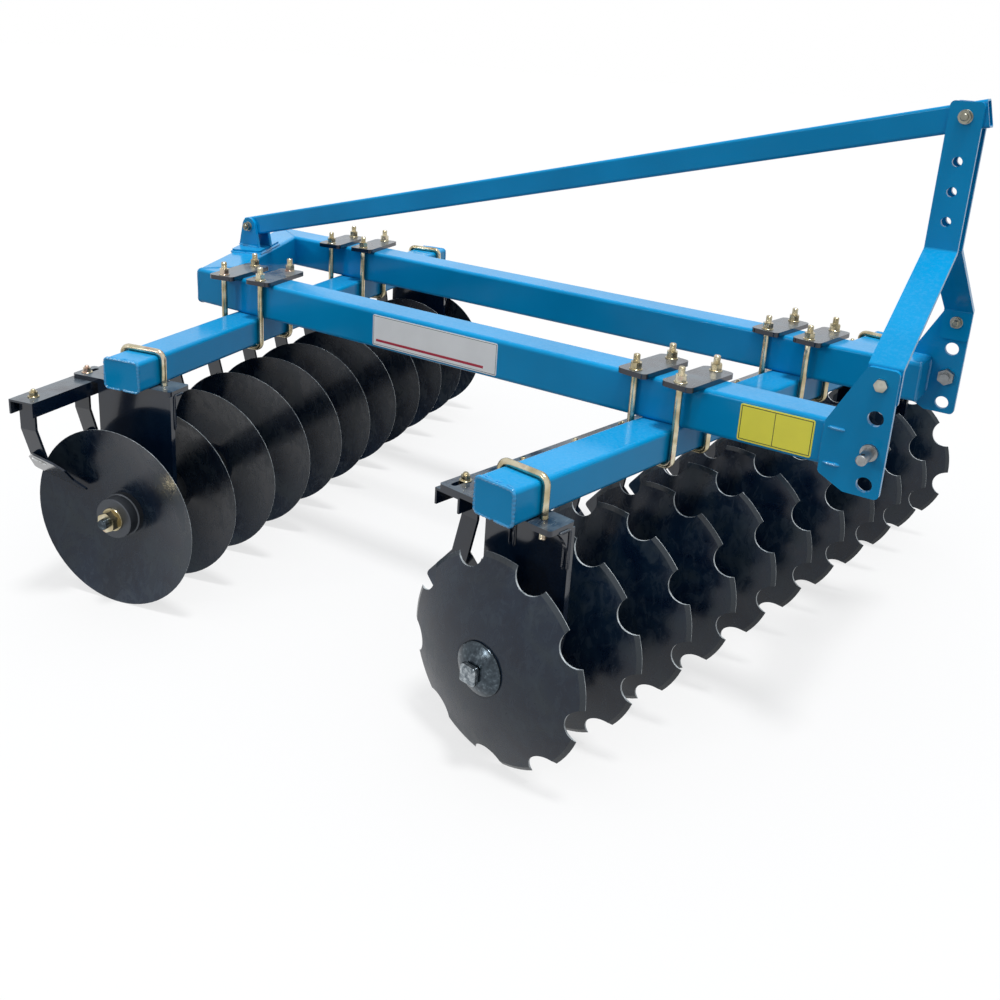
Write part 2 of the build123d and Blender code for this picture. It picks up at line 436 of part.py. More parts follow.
def gang(name, x, slant, notched, bulge):
    place = Pos(x, 0, 0) * Rot(0, 0, -slant)
    hollow = -bulge
    at_axle = place * Pos(0, 0, AXLE_Z)
    a = radians(slant)

    def put(node, shape):
        nodes[f"{name}_{node}"] = shape

    # Turning group, with its head on the bulging side and its nut on the hollow one
    one = disc(notched, bulge)
    put("discs", Compound([at_axle * Pos(0, hub_y(k), 0) * one for k in range(DISC_COUNT)]))
    between = [at_axle * spool(hub_y(k) + DISC_T / 2, hub_y(k + 1) - DISC_T / 2, k + 0.5 in BEARING_GAPS)
               for k in range(DISC_COUNT - 1)]
    outer = {-1: hub_y(0) - DISC_T / 2, 1: hub_y(DISC_COUNT - 1) + DISC_T / 2}
    head_y, nut_y = outer[bulge] + bulge * DOME_H, outer[hollow] + hollow * SLEEVE_L
    ends = [domed_washer(outer[bulge], bulge), sleeve(outer[hollow], hollow)]
    bore = square_bore(min(head_y, nut_y) - 1, max(head_y, nut_y) + 1)
    put("spools", Compound(between + [at_axle * (end - bore) for end in ends]))

    half = AXLE_SQ / 2
    axle = box(-half, half, head_y, nut_y - hollow * 1, -half, half)
    head = box(-HEAD_SQ / 2, HEAD_SQ / 2, head_y, head_y + bulge * HEAD_H, -HEAD_SQ / 2, HEAD_SQ / 2)
    inner = head.faces().sort_by(Axis.Y)[0 if bulge > 0 else -1]
    axle += fillet([e for e in head.edges() if abs(e.center().Y - inner.center().Y) > 1], HEAD_R)
    nut_top = nut_y + hollow * (AXLE_WASHER_T + AXLE_NUT_H)
    axle += rod(AXLE_THREAD_R, (0, nut_y - hollow * 2, 0), (0, nut_top + hollow * AXLE_OUT, 0))
    axle += rod(AXLE_WASHER_R, (0, nut_y, 0), (0, nut_y + hollow * AXLE_WASHER_T, 0))
    axle += hexagon(AXLE_NUT_AF, AXLE_NUT_H, (0, nut_y + hollow * AXLE_WASHER_T, 0), (0, hollow, 0))
    put("axle", at_axle * axle)

    # Gang beam with its two end caps
    section = tube(GANG_BEAM_W, GANG_BEAM_H, GANG_BEAM_WALL, GANG_BEAM_R)
    start = Plane((0, GANG_BEAM_START, BEAM_LOW - GANG_BEAM_H / 2), x_dir=(1, 0, 0), z_dir=(0, 1, 0))
    beam = extrude(start * section, GANG_BEAM_END - GANG_BEAM_START)
    for y, s in ((GANG_BEAM_START, -1), (GANG_BEAM_END, 1)):
        end = Plane((0, y, BEAM_LOW - GANG_BEAM_H / 2), x_dir=(1, 0, 0), z_dir=(0, s, 0))
        beam += capped_end(end, GANG_BEAM_W, GANG_BEAM_H, GANG_BEAM_R)
    put("gang_beam", place * beam)

    # Hangers with bearings and U-bolts
    for side, gap in zip(("right", "left"), BEARING_GAPS):
        y = hub_y(gap)
        put(f"{side}_hanger", place * hanger(y, hollow))
        put(f"{side}_bearing", place * bearing(y, hollow))
        bar_z = GANG_BEAM_LOW + GANG_BEAM_H + UBOLT_D / 2
        bolt = Pos(0, y, 0) * u_bolt(LEG_X, bar_z, FLANGE_LOW - NUT_H - THREAD_OUT, UBOLT_BEND)
        for sx in (-1, 1):
            bolt += hexagon(NUT_AF, NUT_H, (sx * LEG_X, y, FLANGE_LOW - NUT_H))
        put(f"{side}_hanger_bolt", place * bolt)

    # Clamps under each main beam
    for side, sy in SIDES.items():
        y_mid = sy * BEAM_Y / cos(a)
        off = (BEAM_W / 2 + UBOLT_D / 2 + CLEAR + LEG_X * abs(sin(a))) / cos(a)
        bar_z = GANG_BEAM_LOW - UBOLT_D / 2
        nut_z = BEAM_TOP + CLAMP_PLATE_T
        end_z = nut_z + NUT_COUNT * NUT_H + THREAD_OUT
        bolts, plates = [], []
        for sign in (-1, 1):
            y = y_mid + sign * off
            bolt = Pos(0, y, 0) * u_bolt(LEG_X, bar_z, end_z, UBOLT_BEND)
            for sx in (-1, 1):
                for i in range(NUT_COUNT):
                    bolt += hexagon(NUT_AF, NUT_H, (sx * LEG_X, y, nut_z + i * NUT_H))
            bolts.append(place * bolt)
        for sx in (-1, 1):
            plate = extrude(Pos(sx * LEG_X, y_mid, BEAM_TOP)
                            * RectangleRounded(CLAMP_PLATE_W, 2 * (off + CLAMP_MARGIN), CLAMP_PLATE_R), CLAMP_PLATE_T)
            for y in (y_mid - off, y_mid + off):
                plate -= rod(UBOLT_D / 2 + HOLE_CLEAR, (sx * LEG_X, y, BEAM_TOP - 1), (sx * LEG_X, y, nut_z + 1))
            plates.append(place * plate)
        put(f"{side}_clamp_bolts", Compound(bolts))
        put(f"{side}_clamp_plates", Compound(plates))

    # Scraper bar under the hangers' flanges, and a scraper on the hollow side of each disc
    reach = hollow * ARM_TOP_OUT
    y0 = min(hub_y(0) + reach - BAR_OUT, hub_y(BEARING_GAPS[0]) - FLANGE_L / 2)
    y1 = max(hub_y(DISC_COUNT - 1) + reach + BAR_OUT, hub_y(BEARING_GAPS[1]) + FLANGE_L / 2)
    bar = box(BAR_X - BAR_W / 2, BAR_X + BAR_W / 2, y0, y1, FLANGE_LOW - BAR_H, FLANGE_LOW)
    bar -= box(BAR_X - BAR_W / 2 + BAR_T, BAR_X + BAR_W / 2 - BAR_T, y0 - 1, y1 + 1,
               FLANGE_LOW - BAR_H - 1, FLANGE_LOW - BAR_T)
    put("scraper_bar", place * bar)
    one = scraper(hollow)
    put("scrapers", Compound([place * Pos(0, hub_y(k), 0) * one for k in range(DISC_COUNT)]))


for gang_name, spec in GANGS.items():
    gang(gang_name, **spec)

# Move the machine so that its footprint is centred on the origin
whole = Compound([s for n in nodes.values() for s in n.solids()]).bounding_box()
shift = Vector(-(whole.min.X + whole.max.X) / 2, -(whole.min.Y + whole.max.Y) / 2, -whole.min.Z)

os.makedirs("parts", exist_ok=True)
for node, shape in nodes.items():
    moved = Compound([Pos(shift) * s for s in shape.solids()])
    export_step(moved, f"parts/{node}.step")

print("shift", [round(v, 3) for v in shift], "size", whole.size)
for gang_name, spec in GANGS.items():
    a = radians(spec["slant"])
    print(gang_name, "axle passes", [round(v, 3) for v in (spec["x"] + shift.X, shift.Y, AXLE_Z + shift.Z)],
          "along", [round(sin(a), 5), round(cos(a), 5), 0])
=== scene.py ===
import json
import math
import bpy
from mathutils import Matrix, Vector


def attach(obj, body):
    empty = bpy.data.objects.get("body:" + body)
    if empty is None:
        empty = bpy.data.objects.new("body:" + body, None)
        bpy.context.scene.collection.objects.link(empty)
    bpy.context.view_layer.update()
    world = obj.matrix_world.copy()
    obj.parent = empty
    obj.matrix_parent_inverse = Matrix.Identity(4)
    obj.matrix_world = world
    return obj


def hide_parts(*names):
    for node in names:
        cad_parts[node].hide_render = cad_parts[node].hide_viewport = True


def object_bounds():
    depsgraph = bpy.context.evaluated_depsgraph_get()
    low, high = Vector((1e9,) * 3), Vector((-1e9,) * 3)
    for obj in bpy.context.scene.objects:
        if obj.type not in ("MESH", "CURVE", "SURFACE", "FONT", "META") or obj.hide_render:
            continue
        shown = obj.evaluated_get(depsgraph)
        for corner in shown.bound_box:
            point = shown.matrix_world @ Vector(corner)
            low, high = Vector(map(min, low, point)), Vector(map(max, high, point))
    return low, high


bl_info = {
    "name": "Offset disc harrow",
    "version": (1, 0, 0),
    "blender": (4, 5, 0),
    "location": "3D View > Sidebar > Harrow",
    "description": "Finishes and fine pieces of a mounted offset disc harrow",
    "category": "Object",
}

import bmesh
import bpy
import numpy as np
from mathutils import Matrix, Vector

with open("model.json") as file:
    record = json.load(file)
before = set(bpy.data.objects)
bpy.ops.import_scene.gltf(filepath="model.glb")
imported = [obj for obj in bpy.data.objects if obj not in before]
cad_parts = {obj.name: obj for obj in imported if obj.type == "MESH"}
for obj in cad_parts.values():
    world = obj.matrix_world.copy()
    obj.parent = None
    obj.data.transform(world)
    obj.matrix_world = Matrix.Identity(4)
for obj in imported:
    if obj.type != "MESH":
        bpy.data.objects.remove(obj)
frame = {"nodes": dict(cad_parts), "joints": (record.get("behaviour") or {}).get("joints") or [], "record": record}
CAD_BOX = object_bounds()
JOINTS = {j["child"]: j for j in frame["joints"]}
NODES = frame["nodes"]
MM = 0.001

# Sizes of the CAD model that the fine pieces sit on, in millimetres
AXLE_Z = 230.0
BEAM_TOP, BEAM_H, BEAM_W, BEAM_R, BEAM_Y = 724.0, 100.0, 100.0, 10.0, 290.0
BEAM_FRONT, CROSS_X, CROSS_SKEW = 1063.0, -955.0, math.radians(26.4)
GANG_BEAM_W, GANG_BEAM_H = 100.0, 76.0
GANG_BEAM_START, GANG_BEAM_END = -873.0, 903.0
GANG_BEAM_LOW = BEAM_TOP - BEAM_H - GANG_BEAM_H
FLANGE_LOW = GANG_BEAM_LOW - 12.0
UBOLT_D, UBOLT_GAP, UBOLT_BEND = 16.0, 1.0, 18.0
LEG_X = GANG_BEAM_W / 2 + UBOLT_GAP + UBOLT_D / 2
HUB_START, DISC_PITCH, DISC_COUNT, DISC_T, DISC_R = -885.0, 180.0, 11, 4.0, 230.0
DISC_SPHERE_R, DISC_FLAT_R = 600.0, 64.0
BEARING_GAPS = (0.5, DISC_COUNT - 1.5)
HANGER_Y = tuple(HUB_START + k * DISC_PITCH for k in BEARING_GAPS)
WEB_IN, WEB_OUT, WEB_REAR, WEB_FRONT = 24.0, 38.0, -112.0, 106.0
GUSSET_SIDES, GUSSET_REACH, GUSSET_DROP = (-42.0, -32.0, 96.0, 106.0), 38.0, 100.0
HOUSING_R, HOUSING_FLANGE_T, BEARING_BOLT_R, NIPPLE_IN = 56.0, 12.0, 71.0, 12.0
CLAMP_T, CLAMP_CLEAR, NUT_AF, NUT_H, UBOLT_WASHER_R = 12.0, 3.0, 24.0, 13.0, 15.0
CLAMP_NUT_H, THREAD_OUT, HANGER_THREAD_MORE = 1.15 * NUT_H, 10.0, 9.0
BOLT_HEAD_H, BOLT_OUT, MAST_T = 10.0, 6.0, 10.0
BAR_X, ARM_W = -165.0, 45.0
TAB_LOW, SCRAPER_BOLT_OUT = FLANGE_LOW - 12.0, 104.0
ARM_FOOT_OUT, ARM_FOOT_Z, BLADE_CLEAR = 97.0, 372.0, 11.0
EDGE_RADII, EDGE_ANGLE, BLADE_BEAD = (238.0, 112.0), math.radians(155), 6.0
DOME_R, DOME_EDGE_T, DOME_H, SLEEVE_L = 57.0, 4.0, 22.0, 45.0
AXLE_HALF, HEAD_HALF, HEAD_H = 15.0, 20.0, 16.0
AXLE_WASHER_R, AXLE_WASHER_T, AXLE_NUT_AF, AXLE_NUT_H = 30.0, 5.0, 46.0, 22.0
AXLE_THREAD_R, AXLE_THREAD_L, AXLE_THREAD_PITCH = 13.5, 41.0, 3.0
HITCH_X, FOOT_BOLT_Z, PLATE_IN, PLATE_OUT, PLATE_REAR = 1110.0, 820.0, 340.0, 352.0, 1014.0
MAST_BOLT = (HITCH_X, 1318.9, 30.0)
STAY_BOLT = (-958.0, 797.0, 30.5)
EAR_OUT, EAR_HALF_W = 30.5, 42.0
BASE_L, BASE_W, BASE_T, BASE_R = 184.0, 92.0, 10.0, 8.0
GANGS = {"front": 1.0, "rear": -1.0}            # the side to which the discs are hollow
SIDES = {"right": -1.0, "left": 1.0}
DOWN, UP = (0, 0, -1), (0, 0, 1)

# How the surfaces are drawn, in millimetres: points along a thread, and one more ring inside a rounded edge
THREAD_STEP, THREAD_MARGIN, EDGE_RING = 0.28, 1.0, 0.8

# Where the machine's middle plane lies, and its own X before it was centred on its footprint
MIDDLE_Y = JOINTS["front_gang"]["pos_m"][1] / MM
SHIFT_X = JOINTS["front_gang"]["pos_m"][0] / MM - 700.0


# Frames of reference

def gang_axes(gang):
    """Origin on the ground under the axle line, and the gang's own X, Y and Z as rows, in millimetres."""
    joint = JOINTS[f"{gang}_gang"]
    y_axis = unit(np.array(joint["axis"], float))
    z_axis = np.array([0.0, 0.0, 1.0])
    origin = np.array(joint["pos_m"], float) / MM
    origin[2] = 0.0
    return origin, np.array([np.cross(y_axis, z_axis), y_axis, z_axis])


def machine_axes():
    """The machine's own frame before it was centred on its footprint."""
    return np.array([SHIFT_X, MIDDLE_Y, 0.0]), np.eye(3)


def slant(gang):
    """Angle of a gang's axle from the machine's Y, in radians, with the left end forward as plus."""
    return math.asin(JOINTS[f"{gang}_gang"]["axis"][0])


def hub_y(k):
    """Y of disc k's flat seat in its gang's frame: even steps of the pitch from the first."""
    return HUB_START + k * DISC_PITCH


def dish_depth(r):
    """How far the dished surface has risen from its flat seat at this radius."""
    return math.sqrt(DISC_SPHERE_R ** 2 - DISC_FLAT_R ** 2) - math.sqrt(DISC_SPHERE_R ** 2 - r * r)


def cross_x(y):
    """X of the rear cross beam's middle line at a Y: it falls by the tangent of the beam's skew."""
    return CROSS_X - math.tan(CROSS_SKEW) * y


# Surfaces

def unit(v):
    """Vectors divided by their own lengths."""
    return v / np.linalg.norm(v, axis=-1, keepdims=True)


def grid_faces(rows, cols, wrap):
    """Quads between neighbouring rows of a grid; wrap joins the last column to the first."""
    i = np.arange(rows - 1)[:, None]
    j = np.arange(cols if wrap else cols - 1)[None, :]
    k = (j + 1) % cols
    return np.stack([i * cols + j, i * cols + k, (i + 1) * cols + k, (i + 1) * cols + j], -1).reshape(-1, 4)


class Surface:
    """Points and faces of one piece, gathered grid by grid."""

    def __init__(self):
        self.points, self.faces, self.count = [], [], 0

    def add(self, grid):
        """A tube of rings with a fan over each end: grid has the shape rings, points a ring, 3."""
        rows, cols = grid.shape[:2]
        j = np.arange(cols)
        k = (j + 1) % cols
        first, last, base = rows * cols, rows * cols + 1, (rows - 1) * cols
        sides = grid_faces(rows, cols, True) + self.count
        low = np.stack([np.full(cols, first), k, j], -1) + self.count
        high = np.stack([np.full(cols, last), base + j, base + k], -1) + self.count
        self.faces += sides.tolist() + low.tolist() + high.tolist()
        self.points.append(np.vstack([grid.reshape(-1, 3), grid[0].mean(0), grid[-1].mean(0)]))
        self.count += rows * cols + 2
        return self

    def build(self, name, axes, body, slot, material, smooth_angle=35.0):
        """Puts the gathered surface into one mesh in the row's frame and hangs it on its body."""
        origin, rows = axes
        points = (np.vstack(self.points) @ rows + origin) * MM
        mesh = bpy.data.meshes.new(name)
        mesh.from_pydata(points.tolist(), [], self.faces)
        mesh.materials.append(material)
        mesh.validate()
        piece = bpy.data.objects.new(name, mesh)
        bpy.context.scene.collection.objects.link(piece)
        orient_outwards(mesh)
        mesh.shade_smooth()
        mesh.set_sharp_from_angle(angle=math.radians(smooth_angle))
        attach(piece, body)
        return piece


def orient_outwards(mesh):
    """Turns faces so that every closed shell of the mesh points outwards."""
    shell = bmesh.new()
    shell.from_mesh(mesh)
    bmesh.ops.recalc_face_normals(shell, faces=shell.faces)
    shell.to_mesh(mesh)
    shell.free()


def lengths(path):
    """Length along a path at each of its points."""
    return np.concatenate([[0], np.cumsum(np.linalg.norm(np.diff(path, axis=0), axis=1))])


def circle(n):
    """Angles and unit vectors of n even steps round a circle."""
    t = np.linspace(0, 2 * np.pi, n, endpoint=False)
    return t, np.stack([np.cos(t), np.sin(t)], -1)


def spokes(axis, n):
    """Unit vectors square to an axis, one for each of n even angles, with those angles."""
    axis = unit(np.array(axis, float))
    # The vector given here only has to lie along none of the axes in use
    side = unit(np.cross(axis, [0.31, 0.42, 0.85]))
    t, round_ = circle(n)
    return t, axis, round_[:, :1] * side + round_[:, 1:] * np.cross(axis, side)


def carried(path, profile):
    """A profile carried along a path. Each ring is the profile's two coordinates times the path's normal
    and binormal; the normal is the first one with its part along the tangent taken off step by step."""
    tangent = unit(np.gradient(path, axis=0))
    normal = np.array([0.0, 1.0, 0.0]) if abs(tangent[0, 1]) < 0.9 else np.array([1.0, 0.0, 0.0])
    normals = np.empty_like(path)
    for i, t in enumerate(tangent):
        normal = unit(normal - t * (normal @ t))
        normals[i] = normal
    binormals = np.cross(tangent, normals)
    a, b = profile[..., 0, None], profile[..., 1, None]
    return path[:, None] + a * normals[:, None] + b * binormals[:, None]


def turned(profile, centre, axis, n=32):
    """Surface of revolution: each profile point's radius and height along the axis, swept through a turn."""
    _, axis, out = spokes(axis, n)
    radius, height = np.array(profile, float).T
    return np.array(centre, float) + height[:, None, None] * axis + radius[:, None, None] * out


def hexagon(across, height, centre, axis, turn=0.0, n=48):
    """Nut or bolt head: the radius at an angle is the nearer of the hexagon's flat, half the width over the
    cosine of the angle to that flat's middle, and the chamfer's cone, which closes in at both ends."""
    t, axis, out = spokes(axis, n)
    flat = across / 2 / np.cos((t + turn) % (np.pi / 3) - np.pi / 6)
    rise = np.array([0, 0, 0.08, 0.2, 0.8, 0.92, 1, 1]) * height
    cone = np.array([0.0, 0.95, 0.98, 1.2, 1.2, 0.98, 0.95, 0.0]) * across / math.sqrt(3)
    radius = np.minimum(flat[None, :], cone[:, None])
    return np.array(centre, float) + rise[:, None, None] * axis + radius[..., None] * out[None]


def washer(radius, thick, centre, axis):
    """Disc turned about an axis, with a small chamfer on its free face. What goes through fills its hole."""
    profile = [(0, 0), (radius, 0), (radius, thick * 0.8), (radius - 0.6, thick), (0, thick)]
    return turned(profile, centre, axis, n=40)


def threaded(path, radius, pitch, start, stop, depth=0.6, n=14):
    """Rod with a screw thread between two lengths of its path: the radius falls by a triangle wave of the
    length over the pitch less the angle over a turn, so its ridges climb as a helix. Both tips are
    chamfered at 45 degrees."""
    t, round_ = circle(n)
    along = lengths(path)
    phase = (along[:, None] / pitch - t[None] / (2 * np.pi)) % 1.0
    inside = (along >= start) & (along <= stop)
    radii = radius - depth * np.abs(2 * phase - 1) * inside[:, None]
    tip = radius - 2.0 + np.minimum(along, along[-1] - along)
    return carried(path, round_[None] * np.minimum(radii, tip[:, None])[..., None])


def round_corners(first, n=6):
    """Angles round a rectangle with round corners, n to each quarter from the first one on, and the signs
    of the corners' two coordinates."""
    quarter = np.repeat((np.arange(4) + first) % 4, n)
    angle = quarter * np.pi / 2 + np.tile(np.linspace(0, np.pi / 2, n), 4)
    return angle, np.array([1, -1, -1, 1])[quarter], np.array([1, 1, -1, -1])[quarter]


def rounded_box(x0, x1, y0, y1, z0, z1, r=1.5, axis=2, corner=0.0):
    """Plate or block as rings: a rectangle with round corners at each level, drawn in by the edge radius at
    both ends along the given axis, with one more ring just inside each end so that the shading of the edge
    stops there."""
    lo, hi = np.array([x0, y0, z0], float), np.array([x1, y1, z1], float)
    a, b = [k for k in range(3) if k != axis]
    u = np.concatenate([[0], np.linspace(0, np.pi / 2, 4)])
    inset = np.concatenate([r * (1 - np.sin(u)), r * (1 - np.sin(u))[::-1]])
    level = np.concatenate([lo[axis] + r * (1 - np.cos(u)), (hi[axis] - r * (1 - np.cos(u)))[::-1]])
    inner = np.zeros((len(level), 1))
    inner[[0, -1]] = EDGE_RING
    base = max(corner, r, 0.01)
    angle, sign_a, sign_b = round_corners(0)
    middle, half = (lo + hi) / 2, (hi - lo) / 2 - base
    radius = np.maximum(base - inset, 0.01)[:, None]
    rings = np.zeros((len(level), len(angle), 3))
    rings[..., a] = middle[a] + sign_a * (half[a] - inner) + radius * np.cos(angle)
    rings[..., b] = middle[b] + sign_b * (half[b] - inner) + radius * np.sin(angle)
    rings[..., axis] = level[:, None]
    return rings


def bead(path, size, ripple=4.5, seed=0.0, swing=0.14):
    """Weld bead: a round section carried along the seam, its radius swelling with the ripple's length and
    wandering slowly, so that it reads as laid in overlapping drops."""
    along = lengths(path)
    # A ring stands every 1.5 mm, and both ends taper over 6 mm
    s = np.arange(0, along[-1], 1.5)
    line = np.stack([np.interp(s, along, path[:, k]) for k in range(3)], -1)
    swell = 1 + swing * np.abs(np.sin(np.pi * s / ripple)) + 0.1 * np.sin(s / 13.0 + seed)
    taper = np.clip(np.minimum(s, s[-1] - s) / 6.0, 0.15, 1.0) ** 0.5
    return carried(line, circle(8)[1][None] * (size / 2 * swell * taper)[:, None, None])


def round_rectangle(w, h, r):
    """Closed loop of a rectangle with round corners, begun in the middle of its lower side."""
    angle, sign_a, sign_b = round_corners(3)
    a = sign_a * (w / 2 - r) + r * np.cos(angle)
    b = sign_b * (h / 2 - r) + r * np.sin(angle)
    start = np.array([[0.0, -h / 2]])
    return np.vstack([start, np.stack([a, b], -1), start])


# Materials

def linear(hex_colour):
    """sRGB hex value to linear colour with an alpha of one."""
    rgb = [int(hex_colour[k:k + 2], 16) / 255 for k in (1, 3, 5)]
    return [c / 12.92 if c <= 0.04045 else ((c + 0.055) / 1.055) ** 2.4 for c in rgb] + [1.0]


def outlet(value):
    """The socket that a value stands for: a node stands for its first output in use."""
    if isinstance(value, bpy.types.Node):
        return next(s for s in value.outputs if s.enabled)
    return value


def add(tree, kind, inputs=None, stops=(), **settings):
    """Adds a shader node, sets its settings and a ramp's stops, and links or sets its inputs. An input is
    named by its name or its number."""
    node = tree.nodes.new("ShaderNode" + kind)
    for key, value in settings.items():
        setattr(node, key, value)
    for place, colour in stops[2:]:
        node.color_ramp.elements.new(place)
    for element, (place, colour) in zip(node.color_ramp.elements if stops else (), stops):
        element.position, element.color = place, colour
    for key, value in (inputs or {}).items():
        socket = node.inputs[key] if isinstance(key, int) else next(
            s for s in node.inputs if s.enabled and s.name == key)
        value = outlet(value)
        if isinstance(value, bpy.types.NodeSocket):
            tree.links.new(value, socket)
        else:
            socket.default_value = value
    return node


def per_metre(size_mm):
    """Scale of a pattern whose features are about this size."""
    return 1000.0 / size_mm


def new_material(name, **shader_values):
    """A material with its shader's numbers set, its node tree, that shader and the place on the machine."""
    material = bpy.data.materials.new(name)
    material.use_nodes = True
    tree = material.node_tree
    tree.nodes.clear()
    shader = add(tree, "BsdfPrincipled")
    for key, value in shader_values.items():
        shader.inputs[key.replace("_", " ")].default_value = value
    add(tree, "OutputMaterial", {"Surface": shader})
    return material, tree, shader, add(tree, "TexCoord").outputs["Object"]


def finish_with(tree, shader, base, rough, bumps):
    """Links colour, roughness and a chain of bumps, each a height, a strength and a depth in mm."""
    tree.links.new(outlet(base), shader.inputs["Base Color"])
    tree.links.new(outlet(rough), shader.inputs["Roughness"])
    last = None
    for height, strength, depth in bumps:
        inputs = {"Height": height, "Strength": strength, "Distance": depth * MM}
        if last:
            inputs["Normal"] = last
        last = add(tree, "Bump", inputs)
    tree.links.new(last.outputs[0], shader.inputs["Normal"])


def blue_enamel(colours, film):
    """Sprayed gloss enamel on rolled tube: a thin hard film, nearly flat, a little deeper where it lies
    thick, fine pale dust on upward faces, and a few small dark nicks. On weld beads it is glossier."""
    shine, rough_low, rough_high = {"thin": (0.12, 0.1, 0.24), "pooled": (0.6, 0.06, 0.14)}[film]
    material, tree, shader, place = new_material(f"blue_enamel_{film}", Specular_IOR_Level=shine)
    cloud = add(tree, "TexNoise", {"Vector": place, "Scale": per_metre(260), "Detail": 3.0})
    base = add(tree, "ValToRGB", {"Fac": cloud}, [(0.35, linear(colours.enamel_deep)),
                                                  (0.65, linear(colours.enamel))])
    up = add(tree, "SeparateXYZ", {"Vector": place.node.outputs["Normal"]}).outputs["Z"]
    specks = add(tree, "TexNoise", {"Vector": place, "Scale": per_metre(8), "Detail": 6.0, "Roughness": 0.7})
    dust = add(tree, "Math", {0: up, 1: specks}, operation="MULTIPLY")
    dust = add(tree, "MapRange", {"Value": dust, "From Min": 0.4, "From Max": 0.8, "To Max": 0.1})
    dusty = add(tree, "Mix", {0: dust, 6: base, 7: linear("#b9d8e8")}, data_type="RGBA")
    chips = add(tree, "TexNoise", {"Vector": place, "Scale": per_metre(14), "Detail": 8.0, "Roughness": 0.8})
    nicks = add(tree, "MapRange", {"Value": chips, "From Min": 0.755, "From Max": 0.775, "To Max": 0.6})
    nicked = add(tree, "Mix", {0: nicks, 6: dusty, 7: linear("#20323d")}, data_type="RGBA")
    gloss = add(tree, "TexNoise", {"Vector": place, "Scale": per_metre(70), "Detail": 4.0})
    rough = add(tree, "MapRange", {"Value": gloss, "To Min": rough_low, "To Max": rough_high})
    # The peel of real enamel is about 1.5 mm wide; it is drawn at 5 mm so that it shows
    peel = add(tree, "TexNoise", {"Vector": place, "Scale": per_metre(5), "Detail": 2.0})
    sag = add(tree, "TexNoise", {"Vector": place, "Scale": per_metre(140), "Detail": 1.0})
    finish_with(tree, shader, nicked, rough, [(peel, 0.02, 0.5), (sag, 0.06, 2.0)])
    return material


def gang_place(tree, place, gang):
    """Place and normal in a gang's own frame, with Y along its axle line."""
    turn = (0.0, 0.0, -slant(gang))
    turned_place = add(tree, "Mapping", {"Vector": place, "Rotation": turn,
                                         "Location": JOINTS[f"{gang}_gang"]["pos_m"]}, vector_type="TEXTURE")
    normal = add(tree, "Mapping", {"Vector": place.node.outputs["Normal"], "Rotation": turn},
                 vector_type="TEXTURE")
    return turned_place, normal


def disc_black(colours, gang):
    """Stoved black paint on pressed boron steel: smooth satin gloss with soft wipe marks and haze, and
    paler on the ground bevel, where the film is thin. The rims and notch walls are paler still: partly real
    rub of the film, partly a painted highlight of the light that these edges catch."""
    material, tree, shader, place = new_material(f"disc_black_{gang}", Specular_IOR_Level=0.4)
    place, normal = gang_place(tree, place, gang)
    haze = add(tree, "TexNoise", {"Vector": place, "Scale": per_metre(110), "Detail": 5.0, "Roughness": 0.62,
                                  "Distortion": 0.8})
    base = add(tree, "ValToRGB", {"Fac": haze}, [(0.36, linear(colours.black_deep)),
                                                 (0.5, linear(colours.black)), (0.66, linear("#1f2b35"))])
    # A face along the axle is the dish, a slanted one the bevel, and a square one the rim or a notch
    facing = add(tree, "Math", {0: add(tree, "SeparateXYZ", {"Vector": normal}).outputs["Y"]},
                 operation="ABSOLUTE")
    bevel = add(tree, "MapRange", {"Value": facing, "From Min": 0.87, "From Max": 0.83})
    edge = add(tree, "MapRange", {"Value": facing, "From Min": 0.6, "From Max": 0.5})
    # The pale tint of the rims and notch walls is partly real rub and partly a painted highlight of the light on
    # those edges
    rub = add(tree, "TexNoise", {"Vector": place, "Scale": per_metre(20), "Detail": 5.0, "Roughness": 0.7})
    wear_and_edge_highlight = add(tree, "ValToRGB", {"Fac": rub}, [(0.3, linear("#525c63")), (0.6, linear("#c4cbce"))])
    wipe = add(tree, "Mapping", {"Vector": place, "Scale": (1.0, 1.0, 0.55), "Rotation": (0, 0.9, 0)})
    wipes = add(tree, "TexNoise", {"Vector": wipe, "Scale": per_metre(26), "Detail": 4.0, "Roughness": 0.6,
                                   "Distortion": 1.2})
    dry = add(tree, "MapRange", {"Value": wipes, "From Min": 0.5, "From Max": 0.7, "To Max": 0.19})
    wiped = add(tree, "Mix", {0: dry, 6: base, 7: linear("#46525c")}, data_type="RGBA")
    bevelled = add(tree, "Mix", {0: bevel, 6: wiped, 7: linear("#2e363d")}, data_type="RGBA")
    with_edge_rub_and_highlight = add(tree, "Mix", {0: edge, 6: bevelled, 7: wear_and_edge_highlight}, data_type="RGBA")
    both = add(tree, "Math", {0: haze, 1: wipes}, operation="MULTIPLY")
    rough = add(tree, "MapRange", {"Value": both, "From Min": 0.18, "From Max": 0.36, "To Min": 0.2,
                                   "To Max": 0.36})
    ripple = add(tree, "TexNoise", {"Vector": place, "Scale": per_metre(90), "Detail": 1.0})
    finish_with(tree, shader, with_edge_rub_and_highlight, rough, [(wipes, 0.02, 0.5), (ripple, 0.06, 2.0)])
    return material


